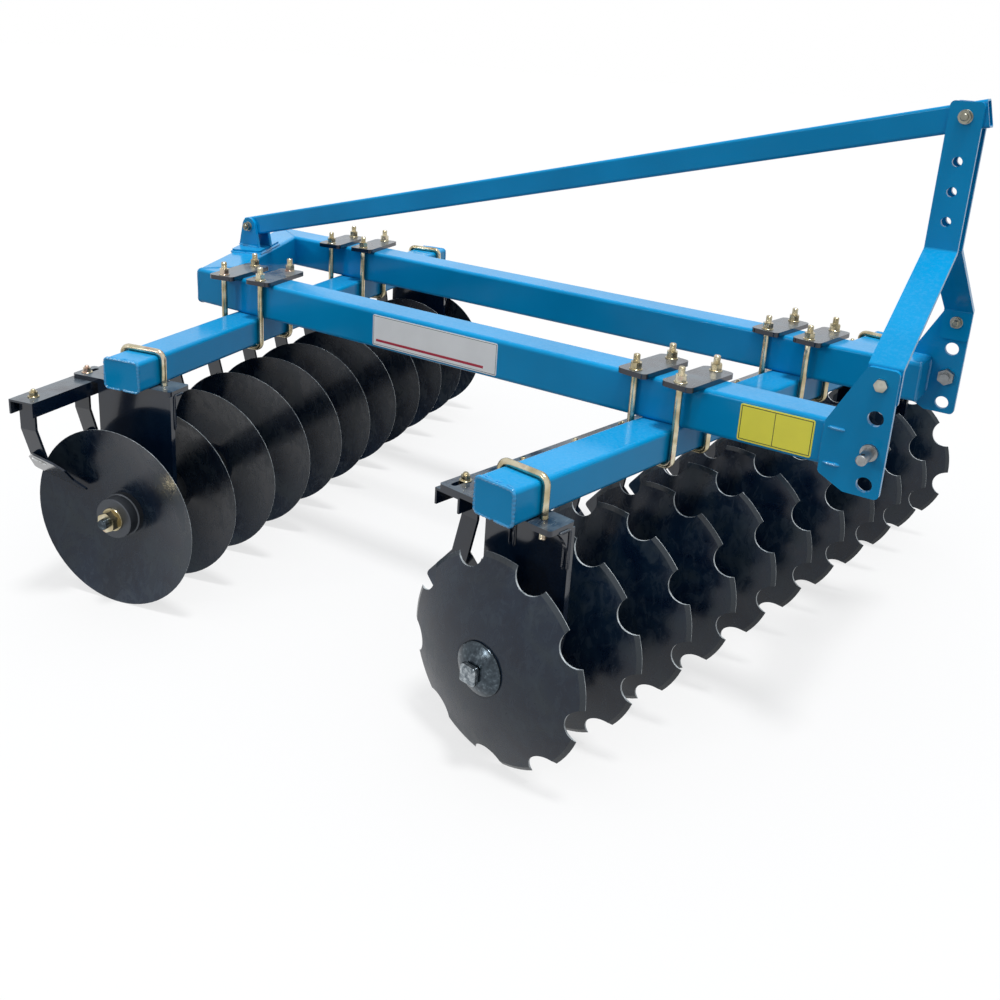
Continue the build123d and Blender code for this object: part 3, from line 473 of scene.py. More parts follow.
def black_enamel(colours):
    """Dipped black gloss on welded plate: a wet-looking film with faint runs, dulled to grey on upward
    faces by dust and fine scratches."""
    material, tree, shader, place = new_material("black_enamel", Coat_Weight=0.3, Coat_Roughness=0.05)
    cloud = add(tree, "TexNoise", {"Vector": place, "Scale": per_metre(90), "Detail": 5.0, "Roughness": 0.6})
    base = add(tree, "ValToRGB", {"Fac": cloud}, [(0.35, linear(colours.black_deep)),
                                                  (0.65, linear(colours.black))])
    up = add(tree, "SeparateXYZ", {"Vector": place.node.outputs["Normal"]}).outputs["Z"]
    top = add(tree, "MapRange", {"Value": up, "From Min": 0.6, "From Max": 0.95})
    drawn = add(tree, "Mapping", {"Vector": place, "Scale": (1.0, 0.07, 1.0), "Rotation": (0, 0, 0.4)})
    scratch = add(tree, "TexNoise", {"Vector": drawn, "Scale": per_metre(2.5), "Detail": 3.0})
    scratches = add(tree, "MapRange", {"Value": scratch, "From Min": 0.62, "From Max": 0.72})
    film = add(tree, "MapRange", {"Value": cloud, "From Min": 0.35, "From Max": 0.65, "To Min": 0.02,
                                  "To Max": 0.6})
    marks = add(tree, "Math", {0: scratches, 1: 0.45, 2: film}, operation="MULTIPLY_ADD")
    wear_and_edge_highlight = add(tree, "Math", {0: marks, 1: top}, operation="MULTIPLY", use_clamp=True)
    dusty = add(tree, "Mix", {0: wear_and_edge_highlight, 6: base, 7: linear("#748189")}, data_type="RGBA")
    rough = add(tree, "MapRange", {"Value": wear_and_edge_highlight, "From Max": 0.6, "To Min": 0.14, "To Max": 0.42})
    runs = add(tree, "Mapping", {"Vector": place, "Scale": (1.0, 1.0, 0.2)})
    wave = add(tree, "TexNoise", {"Vector": runs, "Scale": per_metre(40), "Detail": 2.0})
    finish_with(tree, shader, dusty, rough, [(scratch, 0.03, 0.3), (wave, 0.08, 1.5)])
    return material


def black_casting(colours):
    """Sand-cast iron under black paint: the same black over a coarse, pitted skin."""
    material, tree, shader, place = new_material("black_casting")
    grain = add(tree, "TexNoise", {"Vector": place, "Scale": per_metre(3.5), "Detail": 5.0,
                                   "Roughness": 0.65})
    patch = add(tree, "TexNoise", {"Vector": place, "Scale": per_metre(40), "Detail": 4.0})
    base = add(tree, "ValToRGB", {"Fac": patch}, [(0.3, linear(colours.black_deep)),
                                                  (0.7, linear("#2f3639"))])
    rough = add(tree, "MapRange", {"Value": grain, "To Min": 0.3, "To Max": 0.6})
    finish_with(tree, shader, base, rough, [(grain, 0.35, 0.8)])
    return material


def forged_steel(colours, part):
    """Forged steel, oiled: burnished metal that mirrors the sky softly, with scale pits. The domed washer
    is still blackened, and the square head is rubbed bright by the spanner."""
    material, tree, shader, place = new_material(f"forged_steel_{part}", Metallic=1.0)
    tints = {"washer": ("#363d43", "#454e55", "#6f7a81"), "head": ("#596269", "#959da2", "#c8cdd0")}[part]
    scale = add(tree, "TexNoise", {"Vector": place, "Scale": per_metre(9), "Detail": 4.0, "Roughness": 0.6})
    base = add(tree, "ValToRGB", {"Fac": scale}, list(zip((0.35, 0.55, 0.72), map(linear, tints))))
    rough = add(tree, "MapRange", {"Value": scale, "From Min": 0.3, "From Max": 0.7, "To Min": 0.17,
                                   "To Max": 0.26})
    pits = add(tree, "TexNoise", {"Vector": place, "Scale": per_metre(5), "Detail": 4.0})
    finish_with(tree, shader, base, rough, [(pits, 0.12, 0.6)])
    return material


def zinc_plate(name, tints, rough_span):
    """Zinc plate on bright steel, with or without a chromate film that drifts between near tints."""
    material, tree, shader, place = new_material(name, Metallic=1.0)
    drift = add(tree, "TexNoise", {"Vector": place, "Scale": per_metre(45), "Detail": 2.0, "Roughness": 0.5})
    base = add(tree, "ValToRGB", {"Fac": drift}, list(zip((0.3, 0.45, 0.6, 0.75), map(linear, tints))))
    smear = add(tree, "TexNoise", {"Vector": place, "Scale": per_metre(9), "Detail": 4.0})
    rough = add(tree, "MapRange", {"Value": smear, "To Min": rough_span[0], "To Max": rough_span[1]})
    pits = add(tree, "TexNoise", {"Vector": place, "Scale": per_metre(2.5), "Detail": 3.0})
    finish_with(tree, shader, base, rough, [(pits, 0.05, 0.3)])
    return material


def yellow_zinc(colours):
    """Zinc with yellow chromate: pale straw that drifts to rose and green."""
    return zinc_plate("yellow_zinc", ("#938a6c", colours.zinc, "#cfc8b0", "#ab8c80"), (0.16, 0.3))


def grey_zinc(colours):
    """Zinc with clear passivation: a cool light grey, a little tarnished."""
    return zinc_plate("grey_zinc", ("#6f6e63", "#8f8e82", "#b4b3a8", "#837b6c"), (0.24, 0.4))


def turned_steel(colours):
    """Bare turned steel, lightly oiled: grey metal with fine lathe lines and a few brown stains."""
    material, tree, shader, place = new_material("turned_steel", Metallic=1.0)
    stain = add(tree, "TexNoise", {"Vector": place, "Scale": per_metre(15), "Detail": 5.0,
                                   "Roughness": 0.65})
    base = add(tree, "ValToRGB", {"Fac": stain}, [(0.3, linear(colours.steel)), (0.62, linear("#858787")),
                                                  (0.8, linear("#6d6158"))])
    along = add(tree, "Mapping", {"Vector": place, "Scale": (0.15, 1.0, 0.15)})
    lines = add(tree, "TexNoise", {"Vector": along, "Scale": per_metre(1.5), "Detail": 3.0})
    rough = add(tree, "MapRange", {"Value": lines, "To Min": 0.24, "To Max": 0.46})
    finish_with(tree, shader, base, rough, [(lines, 0.15, 0.25)])
    return material


def weld_steel(colours):
    """Weld metal left bare: bright drops with a blue-brown heat tint."""
    material, tree, shader, place = new_material("weld_steel", Metallic=1.0)
    heat = add(tree, "TexNoise", {"Vector": place, "Scale": per_metre(12), "Detail": 4.0})
    base = add(tree, "ValToRGB", {"Fac": heat}, [(0.35, linear("#6d6a66")), (0.5, linear("#c9cccd")),
                                                 (0.7, linear("#8f8a80"))])
    rough = add(tree, "MapRange", {"Value": heat, "To Min": 0.2, "To Max": 0.5})
    drops = add(tree, "TexNoise", {"Vector": place, "Scale": per_metre(3), "Detail": 3.0})
    finish_with(tree, shader, base, rough, [(drops, 0.3, 0.5)])
    return material


def printed_vinyl(name, tint, span, marks):
    """Self-adhesive vinyl plate under a satin film, faintly wavy from the hand that laid it. Marks are
    plain printed lines and stripes: left, right, low and high as shares of the plate, and a colour."""
    material, tree, shader, place = new_material(name, IOR=1.46)
    x0, x1, z0, z1 = span
    share = add(tree, "Mapping", {"Vector": place, "Location": ((x0 + SHIFT_X) * MM, 0, z0 * MM),
                                  "Scale": ((x1 - x0) * MM, 1, (z1 - z0) * MM)}, vector_type="TEXTURE")
    share = add(tree, "SeparateXYZ", {"Vector": share})
    cloud = add(tree, "TexNoise", {"Vector": place, "Scale": per_metre(60), "Detail": 3.0})
    colour = add(tree, "ValToRGB", {"Fac": cloud}, [(0.3, [c * 0.94 for c in linear(tint)[:3]] + [1.0]),
                                                    (0.7, linear(tint))])
    for left, right, low, high, ink in marks:
        across = add(tree, "Math", {0: share.outputs["X"], 1: (left + right) / 2, 2: (right - left) / 2},
                     operation="COMPARE")
        upward = add(tree, "Math", {0: share.outputs["Z"], 1: (low + high) / 2, 2: (high - low) / 2},
                     operation="COMPARE")
        inked = add(tree, "Math", {0: across, 1: upward}, operation="MULTIPLY")
        colour = add(tree, "Mix", {0: inked, 6: colour, 7: linear(ink)}, data_type="RGBA")
    film = add(tree, "TexNoise", {"Vector": place, "Scale": per_metre(30), "Detail": 3.0})
    rough = add(tree, "MapRange", {"Value": film, "To Min": 0.3, "To Max": 0.48})
    finish_with(tree, shader, colour, rough, [(film, 0.06, 0.8)])
    return material


def border_marks(inset_x, inset_z, line_x, line_z, ink):
    """Four thin lines round a plate, as marks of printed_vinyl."""
    far_x, far_z = 1 - inset_x, 1 - inset_z
    return [(inset_x, inset_x + line_x, inset_z, far_z, ink), (far_x - line_x, far_x, inset_z, far_z, ink),
            (inset_x, far_x, inset_z, inset_z + line_z, ink), (inset_x, far_x, far_z - line_z, far_z, ink)]


def material_of(maker, *options):
    """A finish, made once for each set of options."""
    name = "_".join([maker.__name__, *options])
    made = bpy.data.materials.get(name)
    return made or maker(bpy.context.scene.harrow_colours, *options)


def finish_of(node, slot):
    """The finish of a CAD node: by its name where the piece has one of its own, or else by its slot."""
    gang, _, part = node.partition("_")
    if part == "discs":
        return material_of(disc_black, gang)
    if slot == "blue_paint":
        return material_of(blue_enamel, "thin")
    return material_of({"black_paint": black_enamel, "black_casting": black_casting,
                        "zinc_yellow": yellow_zinc, "bright_steel": turned_steel}[slot])


# Properties

class HarrowColours(bpy.types.PropertyGroup):
    enamel: bpy.props.StringProperty(name="Frame enamel", description="Enamel of the frame, sRGB hex",
                                     default="#0795d0")
    enamel_deep: bpy.props.StringProperty(name="Frame enamel, thick", default="#058ac2",
                                          description="Enamel where the film is thick, sRGB hex")
    black: bpy.props.StringProperty(name="Black paint",
                                    description="Black paint with a little haze, sRGB hex",
                                    default="#0e1f31")
    black_deep: bpy.props.StringProperty(name="Black paint, clean",
                                         description="Clean black paint, sRGB hex", default="#051428")
    zinc: bpy.props.StringProperty(name="Yellow zinc", description="Chromated zinc, sRGB hex",
                                   default="#b3a788")
    steel: bpy.props.StringProperty(name="Bare steel", description="Turned steel, sRGB hex",
                                    default="#9c9fa0")


class HarrowSizes(bpy.types.PropertyGroup):
    thread_pitch: bpy.props.FloatProperty(name="Thread pitch", description="Pitch of the U-bolts' thread",
                                          default=2.0 * MM, min=1.0 * MM, unit="LENGTH")
    thread_run: bpy.props.FloatProperty(name="Thread length",
                                        description="Threaded length of a U-bolt's leg", default=52.0 * MM,
                                        min=10 * MM, unit="LENGTH")
    washer_thick: bpy.props.FloatProperty(name="Washer",
                                          description="Thickness of the washers under the nuts",
                                          default=2.6 * MM, min=1 * MM, unit="LENGTH")
    bead_width: bpy.props.FloatProperty(name="Weld bead", description="Width of the fillet welds",
                                        default=7.0 * MM, min=2 * MM, unit="LENGTH")
    plate_film: bpy.props.FloatProperty(name="Film thickness", description="Thickness of the blank plates",
                                        default=0.8 * MM, min=0.2 * MM, unit="LENGTH")


class HarrowStage(bpy.types.PropertyGroup):
    camera_place: bpy.props.FloatVectorProperty(name="Camera", description="Camera position", size=3,
                                                default=(1.57149, -2.43071, 1.4138), unit="LENGTH")
    camera_yaw: bpy.props.FloatProperty(name="Yaw",
                                        description="Turn of the view to the left of the +Y axis",
                                        default=math.radians(32.4), subtype="ANGLE")
    camera_pitch: bpy.props.FloatProperty(name="Pitch", description="Tilt of the view below the horizon",
                                          default=math.radians(17.9), subtype="ANGLE")
    camera_roll: bpy.props.FloatProperty(name="Roll", description="Turn of the picture about the view line",
                                         default=math.radians(3.7), subtype="ANGLE")
    lens: bpy.props.FloatProperty(name="Lens", description="Focal length on a 36 mm wide sensor",
                                  default=38.477)
    shift: bpy.props.FloatVectorProperty(name="Shift", description="Shift of the picture's middle", size=2,
                                         default=(-0.0063, -0.1159))


# Operators

class HARROW_OT_finishes(bpy.types.Operator):
    """Gives every CAD node the detailed finish of its piece or record slot"""
    bl_idname = "harrow.finishes"
    bl_label = "Finishes"

    def execute(self, context):
        for sub in frame["record"]["subparts"]:
            node = NODES[sub["node"]]
            node.data.materials.clear()
            node.data.materials.append(finish_of(sub["node"], sub["material_slot"]))
        return {"FINISHED"}


def u_bolt_path(bar_z, end_z, y, fine):
    """U in the XZ plane: two straight legs, two quarter circles of the bend radius and a straight bar. Legs
    have closely spaced points over the threaded run, so that the thread can be drawn."""
    s = 1.0 if end_z > bar_z else -1.0
    along = np.concatenate([np.arange(0, fine, THREAD_STEP),
                            np.linspace(fine, abs(end_z - bar_z) - UBOLT_BEND, 8)])
    down = np.stack([np.full(len(along), -LEG_X), end_z - s * along], -1)
    t = np.linspace(0, np.pi / 2, 9)[1:]
    bend = np.stack([UBOLT_BEND * (1 - np.cos(t)) - LEG_X, bar_z + s * UBOLT_BEND * (1 - np.sin(t))], -1)
    half = np.vstack([down, bend])
    path = np.vstack([half, half[::-1] * np.array([-1, 1])])
    return np.stack([path[:, 0], np.full(len(path), y), path[:, 1]], -1)


def screwed_u_bolt(surface, y, bar_z, end_z, sizes):
    """One U-bolt with a thread on both legs."""
    run = sizes.thread_run / MM
    path = u_bolt_path(bar_z, end_z, y, run)
    total = lengths(path)[-1]
    radius, pitch = UBOLT_D / 2, sizes.thread_pitch / MM
    n = len(path) // 2
    first = threaded(path, radius, pitch, THREAD_MARGIN, run)
    second = threaded(path, radius, pitch, total - run, total - THREAD_MARGIN)
    surface.add(np.vstack([first[:n], second[n:]]))


class HARROW_OT_u_bolts(bpy.types.Operator):
    """Draws the U-bolts with threads, chamfered nuts and washers in place of the plain ones"""
    bl_idname = "harrow.u_bolts"
    bl_label = "U-bolts"

    def execute(self, context):
        sizes = context.scene.harrow_sizes
        thick = sizes.washer_thick / MM
        zinc = material_of(yellow_zinc)
        for gang in GANGS:
            axes = gang_axes(gang)
            for side, y in zip(SIDES, HANGER_Y):
                surface = Surface()
                screwed_u_bolt(surface, y, GANG_BEAM_LOW + GANG_BEAM_H + UBOLT_D / 2,
                               FLANGE_LOW - NUT_H - THREAD_OUT - HANGER_THREAD_MORE, sizes)
                for sx in (-1, 1):
                    at = (sx * LEG_X, y)
                    surface.add(washer(UBOLT_WASHER_R, thick, (*at, FLANGE_LOW), DOWN))
                    seat = (*at, FLANGE_LOW - thick)
                    surface.add(hexagon(NUT_AF, NUT_H - thick, seat, DOWN, turn=0.4 * sx))
                piece = surface.build(f"{gang}_{side}_hanger_u_bolt", axes, "frame", "zinc_yellow", zinc)
                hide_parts(f"{gang}_{side}_hanger_bolt")
            # A U-bolt stands this far along the gang beam from the crossing: its nearer leg clears the beam
            lean = abs(slant(gang))
            off = (BEAM_W / 2 + UBOLT_D / 2 + CLAMP_CLEAR + LEG_X * math.sin(lean)) / math.cos(lean)
            nut_z = BEAM_TOP + CLAMP_T
            # The legs end where they do in the CAD solid, which has two nuts on each
            tip_z = nut_z + 2 * NUT_H + THREAD_OUT
            for side, sy in SIDES.items():
                surface = Surface()
                for sign in (-1, 1):
                    y = sy * BEAM_Y / math.cos(lean) + sign * off
                    screwed_u_bolt(surface, y, GANG_BEAM_LOW - UBOLT_D / 2, tip_z, sizes)
                    for sx in (-1, 1):
                        at = (sx * LEG_X, y)
                        surface.add(washer(UBOLT_WASHER_R, thick, (*at, nut_z), UP))
                        seat = (*at, nut_z + thick)
                        surface.add(hexagon(NUT_AF, CLAMP_NUT_H, seat, UP, turn=0.3 + sx * sign))
                piece = surface.build(f"{gang}_{side}_clamp_u_bolts", axes, "frame", "zinc_yellow", zinc)
                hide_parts(f"{gang}_{side}_clamp_bolts")
        return {"FINISHED"}


def straight_thread(start, stop, radius, pitch):
    """Threaded rod between two points."""
    start, stop = np.array(start, float), np.array(stop, float)
    length = np.linalg.norm(stop - start)
    share = np.linspace(0, 1, int(length / THREAD_STEP))[:, None]
    return threaded(start + (stop - start) * share, radius, pitch, THREAD_MARGIN, length - THREAD_MARGIN)


def bolt_through(surface, x, z, head_y, nut_y, across, head_h, nut_h, thick, out, pitch, turn=0.0):
    """Hexagon bolt along Y: its head stands on head_y, its washer and nut on nut_y. The radii of its washer
    and shank are shares of the width over the flats."""
    s = 1.0 if head_y > nut_y else -1.0
    washer_r, shank_r = 0.62 * across, across / 3
    surface.add(hexagon(across, head_h, (x, head_y, z), (0, s, 0), turn=turn))
    surface.add(washer(washer_r, thick, (x, nut_y, z), (0, -s, 0)))
    surface.add(hexagon(across, nut_h - thick, (x, nut_y - s * thick, z), (0, -s, 0), turn=0.5 + turn))
    surface.add(straight_thread((x, head_y, z), (x, nut_y - s * (nut_h + out), z), shank_r, pitch))


class HARROW_OT_cross_bolts(bpy.types.Operator):
    """Draws the stay's and the mast's bolts with chamfered heads, nuts, washers and threads"""
    bl_idname = "harrow.cross_bolts"
    bl_label = "Stay and mast bolts"

    def execute(self, context):
        sizes = context.scene.harrow_sizes
        bolt = {"across": NUT_AF, "head_h": BOLT_HEAD_H, "nut_h": NUT_H, "thick": sizes.washer_thick / MM,
                "out": BOLT_OUT, "pitch": sizes.thread_pitch / MM}
        zinc = material_of(grey_zinc)
        surface = Surface()
        for x, z, half in (STAY_BOLT, MAST_BOLT):
            bolt_through(surface, x, z, half, -half, **bolt, turn=0.2)
        piece = surface.build("stay_and_mast_bolts", machine_axes(), "frame", "zinc_yellow", zinc)
        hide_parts("stay_bolts")
        surface = Surface()
        for sy in SIDES.values():
            bolt_through(surface, HITCH_X, FOOT_BOLT_Z, sy * PLATE_OUT, sy * (PLATE_IN - MAST_T), **bolt,
                         turn=0.35 * sy)
        piece = surface.build("foot_bolts", machine_axes(), "frame", "zinc_yellow", zinc)
        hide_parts("mast_foot_bolts")
        return {"FINISHED"}


def dome_profile(proud):
    """Radius and height of the domed washer, raised a little so that this skin covers the plain one: a flat
    foot, an edge rounded by a small circle, and a large circle's arc that the small one touches."""
    rise, edge = DOME_H - DOME_EDGE_T, 5.0
    sphere = (DOME_R ** 2 + rise ** 2) / (2 * rise) + proud
    top = DOME_H + proud
    # The small circle's middle lies one edge radius inside the rim and inside the sphere
    x = DOME_R + proud - edge
    lean = math.asin(x / (sphere - edge))
    y = top - sphere + (sphere - edge) * math.cos(lean)
    u, t = np.linspace(np.pi / 2, lean, 8), np.linspace(lean, 0, 16)[1:]
    small = np.stack([x + edge * np.sin(u), y + edge * np.cos(u)], -1)
    large = np.stack([sphere * np.sin(t), top - sphere * (1 - np.cos(t))], -1)
    foot = np.array([[0, 0.1], [DOME_R - 1, 0.1], [DOME_R + proud, 1.0]])
    return np.vstack([foot, small, large])


class HARROW_OT_axles(bpy.types.Operator):
    """Draws each axle with its forged square head, and its zinc washer, nut and thread at the other end"""
    bl_idname = "harrow.axles"
    bl_label = "Axles"

    def execute(self, context):
        for gang, hollow in GANGS.items():
            ends = (hub_y(DISC_COUNT - 1) + DISC_T / 2, hub_y(0) - DISC_T / 2)[::int(hollow)]
            nut_y, head_y = ends[0] + hollow * SLEEVE_L, ends[1] - hollow * DOME_H
            half, low, high = AXLE_HALF, AXLE_Z - AXLE_HALF, AXLE_Z + AXLE_HALF
            bar_span = sorted((head_y, nut_y - hollow))
            bar = Surface().add(rounded_box(-half, half, *bar_span, low, high, r=1, axis=1, corner=1.5))
            half, low, high = HEAD_HALF, AXLE_Z - HEAD_HALF, AXLE_Z + HEAD_HALF
            head_span = sorted((head_y, head_y - hollow * HEAD_H))
            bar.add(rounded_box(-half, half, *head_span, low, high, r=4, axis=1, corner=6))
            dome = Surface().add(turned(dome_profile(0.8), (0, ends[1], AXLE_Z), (0, -hollow, 0), n=72))
            axis = (0, hollow, 0)
            nut = Surface().add(washer(AXLE_WASHER_R, AXLE_WASHER_T, (0, nut_y, AXLE_Z), axis))
            seat = (0, nut_y + hollow * AXLE_WASHER_T, AXLE_Z)
            nut.add(hexagon(AXLE_NUT_AF, AXLE_NUT_H, seat, axis, turn=0.25))
            run = ((0, nut_y, AXLE_Z), (0, nut_y + hollow * AXLE_THREAD_L, AXLE_Z))
            thread = Surface().add(straight_thread(*run, AXLE_THREAD_R, AXLE_THREAD_PITCH))
            for name, surface, slot, finish in (
                    ("axle_bar", bar, "black_paint", (forged_steel, "head")),
                    ("domed_washer", dome, "black_casting", (forged_steel, "washer")),
                    ("axle_nut", nut, "zinc_yellow", (yellow_zinc,)),
                    ("axle_thread", thread, "black_paint", (forged_steel, "washer"))):
                piece = surface.build(f"{gang}_{name}", gang_axes(gang), f"{gang}_gang", slot,
                                      material_of(*finish))
                # The CAD axle has no dome: the washer is a skin over the gang's spools
                if surface is not dome:
                    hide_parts(f"{gang}_axle")
        return {"FINISHED"}


class HARROW_OT_scraper_bolts(bpy.types.Operator):
    """Bolts that hold the scraper arms to their bars, through the slot where a hanger's flange lies above"""
    bl_idname = "harrow.scraper_bolts"
    bl_label = "Scraper bolts"

    def execute(self, context):
        thick = context.scene.harrow_sizes.washer_thick / MM
        # Bolts of 12 mm: width over the flats, heights of head and nut, and the thread's radius and pitch
        across, head_h, nut_h, radius, pitch = 18, 7.5, 10, 6, 1.75
        washer_r, reach = 13.5, 16
        for gang, hollow in GANGS.items():
            surface = Surface()
            for k in range(DISC_COUNT):
                y = hub_y(k) + hollow * SCRAPER_BOLT_OUT
                on_flange = any(abs(y - hanger) < WEB_OUT for hanger in HANGER_Y)
                top = GANG_BEAM_LOW if on_flange else FLANGE_LOW
                surface.add(hexagon(across, head_h, (BAR_X, y, TAB_LOW), DOWN, turn=0.3 * k))
                surface.add(washer(washer_r, thick, (BAR_X, y, top), UP))
                surface.add(hexagon(across, nut_h, (BAR_X, y, top + thick), UP, turn=0.2 * k))
                tip = (BAR_X, y, top + thick + reach)
                surface.add(straight_thread((BAR_X, y, TAB_LOW), tip, radius, pitch))
            surface.build(f"{gang}_scraper_bolts", gang_axes(gang), "frame", "zinc_yellow",
                          material_of(yellow_zinc))
        return {"FINISHED"}


class HARROW_OT_bearing_bolts(bpy.types.Operator):
    """Four bolts round each bearing's flange, with nuts behind the web, and a grease nipple on top"""
    bl_idname = "harrow.bearing_bolts"
    bl_label = "Bearing bolts and nipples"

    def execute(self, context):
        bolt = {"across": 17, "head_h": 7, "nut_h": 9, "thick": 1.8, "out": 3, "pitch": 1.5}
        # Radius and height: the nipple's hexagon, drawn round, its neck, its bead and its tip
        nipple = [(0, -2), (5.5, -2), (5.5, 3), (3.2, 4), (3.2, 8), (4.2, 9.5), (4.2, 11), (2.4, 13.5),
                  (0, 14)]
        for gang, hollow in GANGS.items():
            surface = Surface()
            for y in HANGER_Y:
                for quarter in range(4):
                    a = math.radians(45 + 90 * quarter)
                    x, z = BEARING_BOLT_R * math.cos(a), AXLE_Z + BEARING_BOLT_R * math.sin(a)
                    bolt_through(surface, x, z, y + hollow * (WEB_IN - HOUSING_FLANGE_T),
                                 y + hollow * WEB_OUT, **bolt, turn=a)
                surface.add(turned(nipple, (0, y - hollow * NIPPLE_IN, AXLE_Z + HOUSING_R), UP, n=20))
            surface.build(f"{gang}_bearing_bolts", gang_axes(gang), "frame", "zinc_yellow",
                          material_of(grey_zinc))
        return {"FINISHED"}


def seam(surface, points, size, seed=0.0):
    """Adds a weld bead along straight runs between points."""
    surface.add(bead(np.array(points, float), size, seed=seed))


def mirrored(points, sy):
    """Points with their Y turned to the right (-1) or left (1) side."""
    return [(x, sy * y, z) for x, y, z in points]


class HARROW_OT_frame_welds(bpy.types.Operator):
    """Painted weld beads of the frame: mitres, end caps, hitch plates and the stay's bracket"""
    bl_idname = "harrow.frame_welds"
    bl_label = "Frame welds"

    def execute(self, context):
        width = context.scene.harrow_sizes.bead_width / MM
        blue = material_of(blue_enamel, "pooled")
        rows = [("main_beam", machine_axes(), self.main_beams(width)),
                ("hitch_plate", machine_axes(), self.hitch_plates(width)),
                ("stay_bracket", machine_axes(), self.stay_bracket(width))]
        rows += [(f"{gang}_gang_beam", gang_axes(gang), self.gang_beam(width)) for gang in GANGS]
        for name, axes, surface in rows:
            surface.build(f"{name}_welds", axes, "frame", "blue_paint", blue)
        return {"FINISHED"}

    def main_beams(self, width):
        """Rings round the mitres at the rear corners and round the front caps."""
        surface = Surface()
        section = round_rectangle(BEAM_W - 3, BEAM_H - 3, BEAM_R)
        middle_z = BEAM_TOP - BEAM_H / 2
        along = np.array([-math.sin(CROSS_SKEW), math.cos(CROSS_SKEW)])
        for sy in SIDES.values():
            # The mitre's plane halves the angle between the main beam and the cross beam
            across = unit(np.array([1.0, 0.0]) + sy * along)
            x = cross_x(sy * BEAM_Y) - section[:, 0] * across[1] / across[0]
            # At the rearmost corner the bead stays inside the machine's length
            x = np.maximum(x, CAD_BOX[0][0] / MM - SHIFT_X + 0.7 * width)
            ring = np.stack([x, sy * BEAM_Y + section[:, 0], middle_z + section[:, 1]], -1)
            surface.add(bead(ring, width, seed=sy))
            front = np.stack([np.full(len(section), BEAM_FRONT), ring[:, 1], ring[:, 2]], -1)
            surface.add(bead(front, 0.8 * width, seed=2 + sy))
        return surface

    def hitch_plates(self, width):
        """Straight runs round each hitch plate's lap on its main beam."""
        surface = Surface()
        low, high = BEAM_TOP - BEAM_H, BEAM_TOP
        rear, lap, front = PLATE_REAR, PLATE_IN - 2, BEAM_FRONT
        # Rear edge, upper and lower lap, the beam's front end, and two short runs on the outer face
        runs = ([(rear - 1, PLATE_IN + 1, low + 6), (rear - 1, PLATE_IN + 1, high - 6)],
                [(rear + 4, lap, high - 3), (front, lap, high - 3)],
                [(rear + 4, lap, low + 3), (front, lap, low + 3)],
                [(front + 5, lap, low + 9), (front + 5, lap, high - 9)],
                [(rear + 8, PLATE_OUT, high - 12), (rear + 44, PLATE_OUT, high - 12)],
                [(rear + 8, PLATE_OUT, low + 12), (rear + 44, PLATE_OUT, low + 12)])
        for sy in SIDES.values():
            for k, points in enumerate(runs):
                seam(surface, mirrored(points, sy), width, seed=k)
        return surface

    def stay_bracket(self, width):
        """A ring round the bracket's base, turned with the cross beam, and runs at the foot of its ears."""
        surface = Surface()
        c, s = math.cos(CROSS_SKEW), math.sin(CROSS_SKEW)
        loop = round_rectangle(BASE_W + 2, BASE_L + 2, BASE_R) @ np.array([[c, s], [-s, c]])
        loop = loop + np.array([STAY_BOLT[0], 0.0])
        surface.add(bead(np.column_stack([loop, np.full(len(loop), BEAM_TOP + 0.5)]), width))
        x0, x1 = STAY_BOLT[0] - EAR_HALF_W, STAY_BOLT[0] + EAR_HALF_W
        z = BEAM_TOP + BASE_T + 1
        for sy in SIDES.values():
            seam(surface, mirrored([(x0, EAR_OUT + 1, z), (x1, EAR_OUT + 1, z)], sy), width, seed=sy)
            for x in (x0, x1):
                seam(surface, mirrored([(x, EAR_OUT - 9, z), (x, EAR_OUT, z)], sy), 0.8 * width)
        return surface

    def gang_beam(self, width):
        """A coarse ring round each end cap, and three short runs across the top, a little further in."""
        surface = Surface()
        section = round_rectangle(GANG_BEAM_W - 2, GANG_BEAM_H - 2, BEAM_R)
        for k, y in enumerate((GANG_BEAM_START - 2, GANG_BEAM_END + 2)):
            ring = np.stack([section[:, 0], np.full(len(section), y), section[:, 1]], -1)
            ring[:, 2] += GANG_BEAM_LOW + GANG_BEAM_H / 2
            surface.add(bead(ring, width, ripple=9.0, seed=k, swing=0.22))
            inward, top = (1, -1)[k], GANG_BEAM_LOW + GANG_BEAM_H
            for j, (x0, x1) in enumerate(((-40, -14), (-8, 12), (19, 41))):
                run = np.linspace(x0, x1, 9)
                sag = y + inward * (9 + 2.5 * np.sin(run / 9.0 + k))
                surface.add(bead(np.stack([run, sag, np.full(9, top - 1.2)], -1), 0.9 * width, seed=j))
        return surface


class HARROW_OT_hanger_welds(bpy.types.Operator):
    """Painted fillet welds of the hangers' webs, flanges and gussets"""
    bl_idname = "harrow.hanger_welds"
    bl_label = "Hanger welds"

    def execute(self, context):
        width = context.scene.harrow_sizes.bead_width / MM
        for gang, hollow in GANGS.items():
            for side, hanger_y in zip(SIDES, HANGER_Y):
                surface = Surface()
                y, z = hanger_y + hollow * (WEB_IN - 1), FLANGE_LOW - 1
                tip = hanger_y + hollow * (WEB_IN - GUSSET_REACH + 3)
                seam(surface, [(WEB_REAR + 2, y, z), (WEB_FRONT - 12, y, z)], width)
                for k, x in enumerate(GUSSET_SIDES):
                    x += 1 if k % 2 else -1
                    seam(surface, [(x, y, z), (x, y, z - GUSSET_DROP + 10)], 0.8 * width, seed=k)
                    seam(surface, [(x, y, z), (x, tip, z)], 0.8 * width, seed=k + 3)
                surface.build(f"{gang}_{side}_hanger_welds", gang_axes(gang), "frame", "black_paint",
                              material_of(black_enamel))
        return {"FINISHED"}


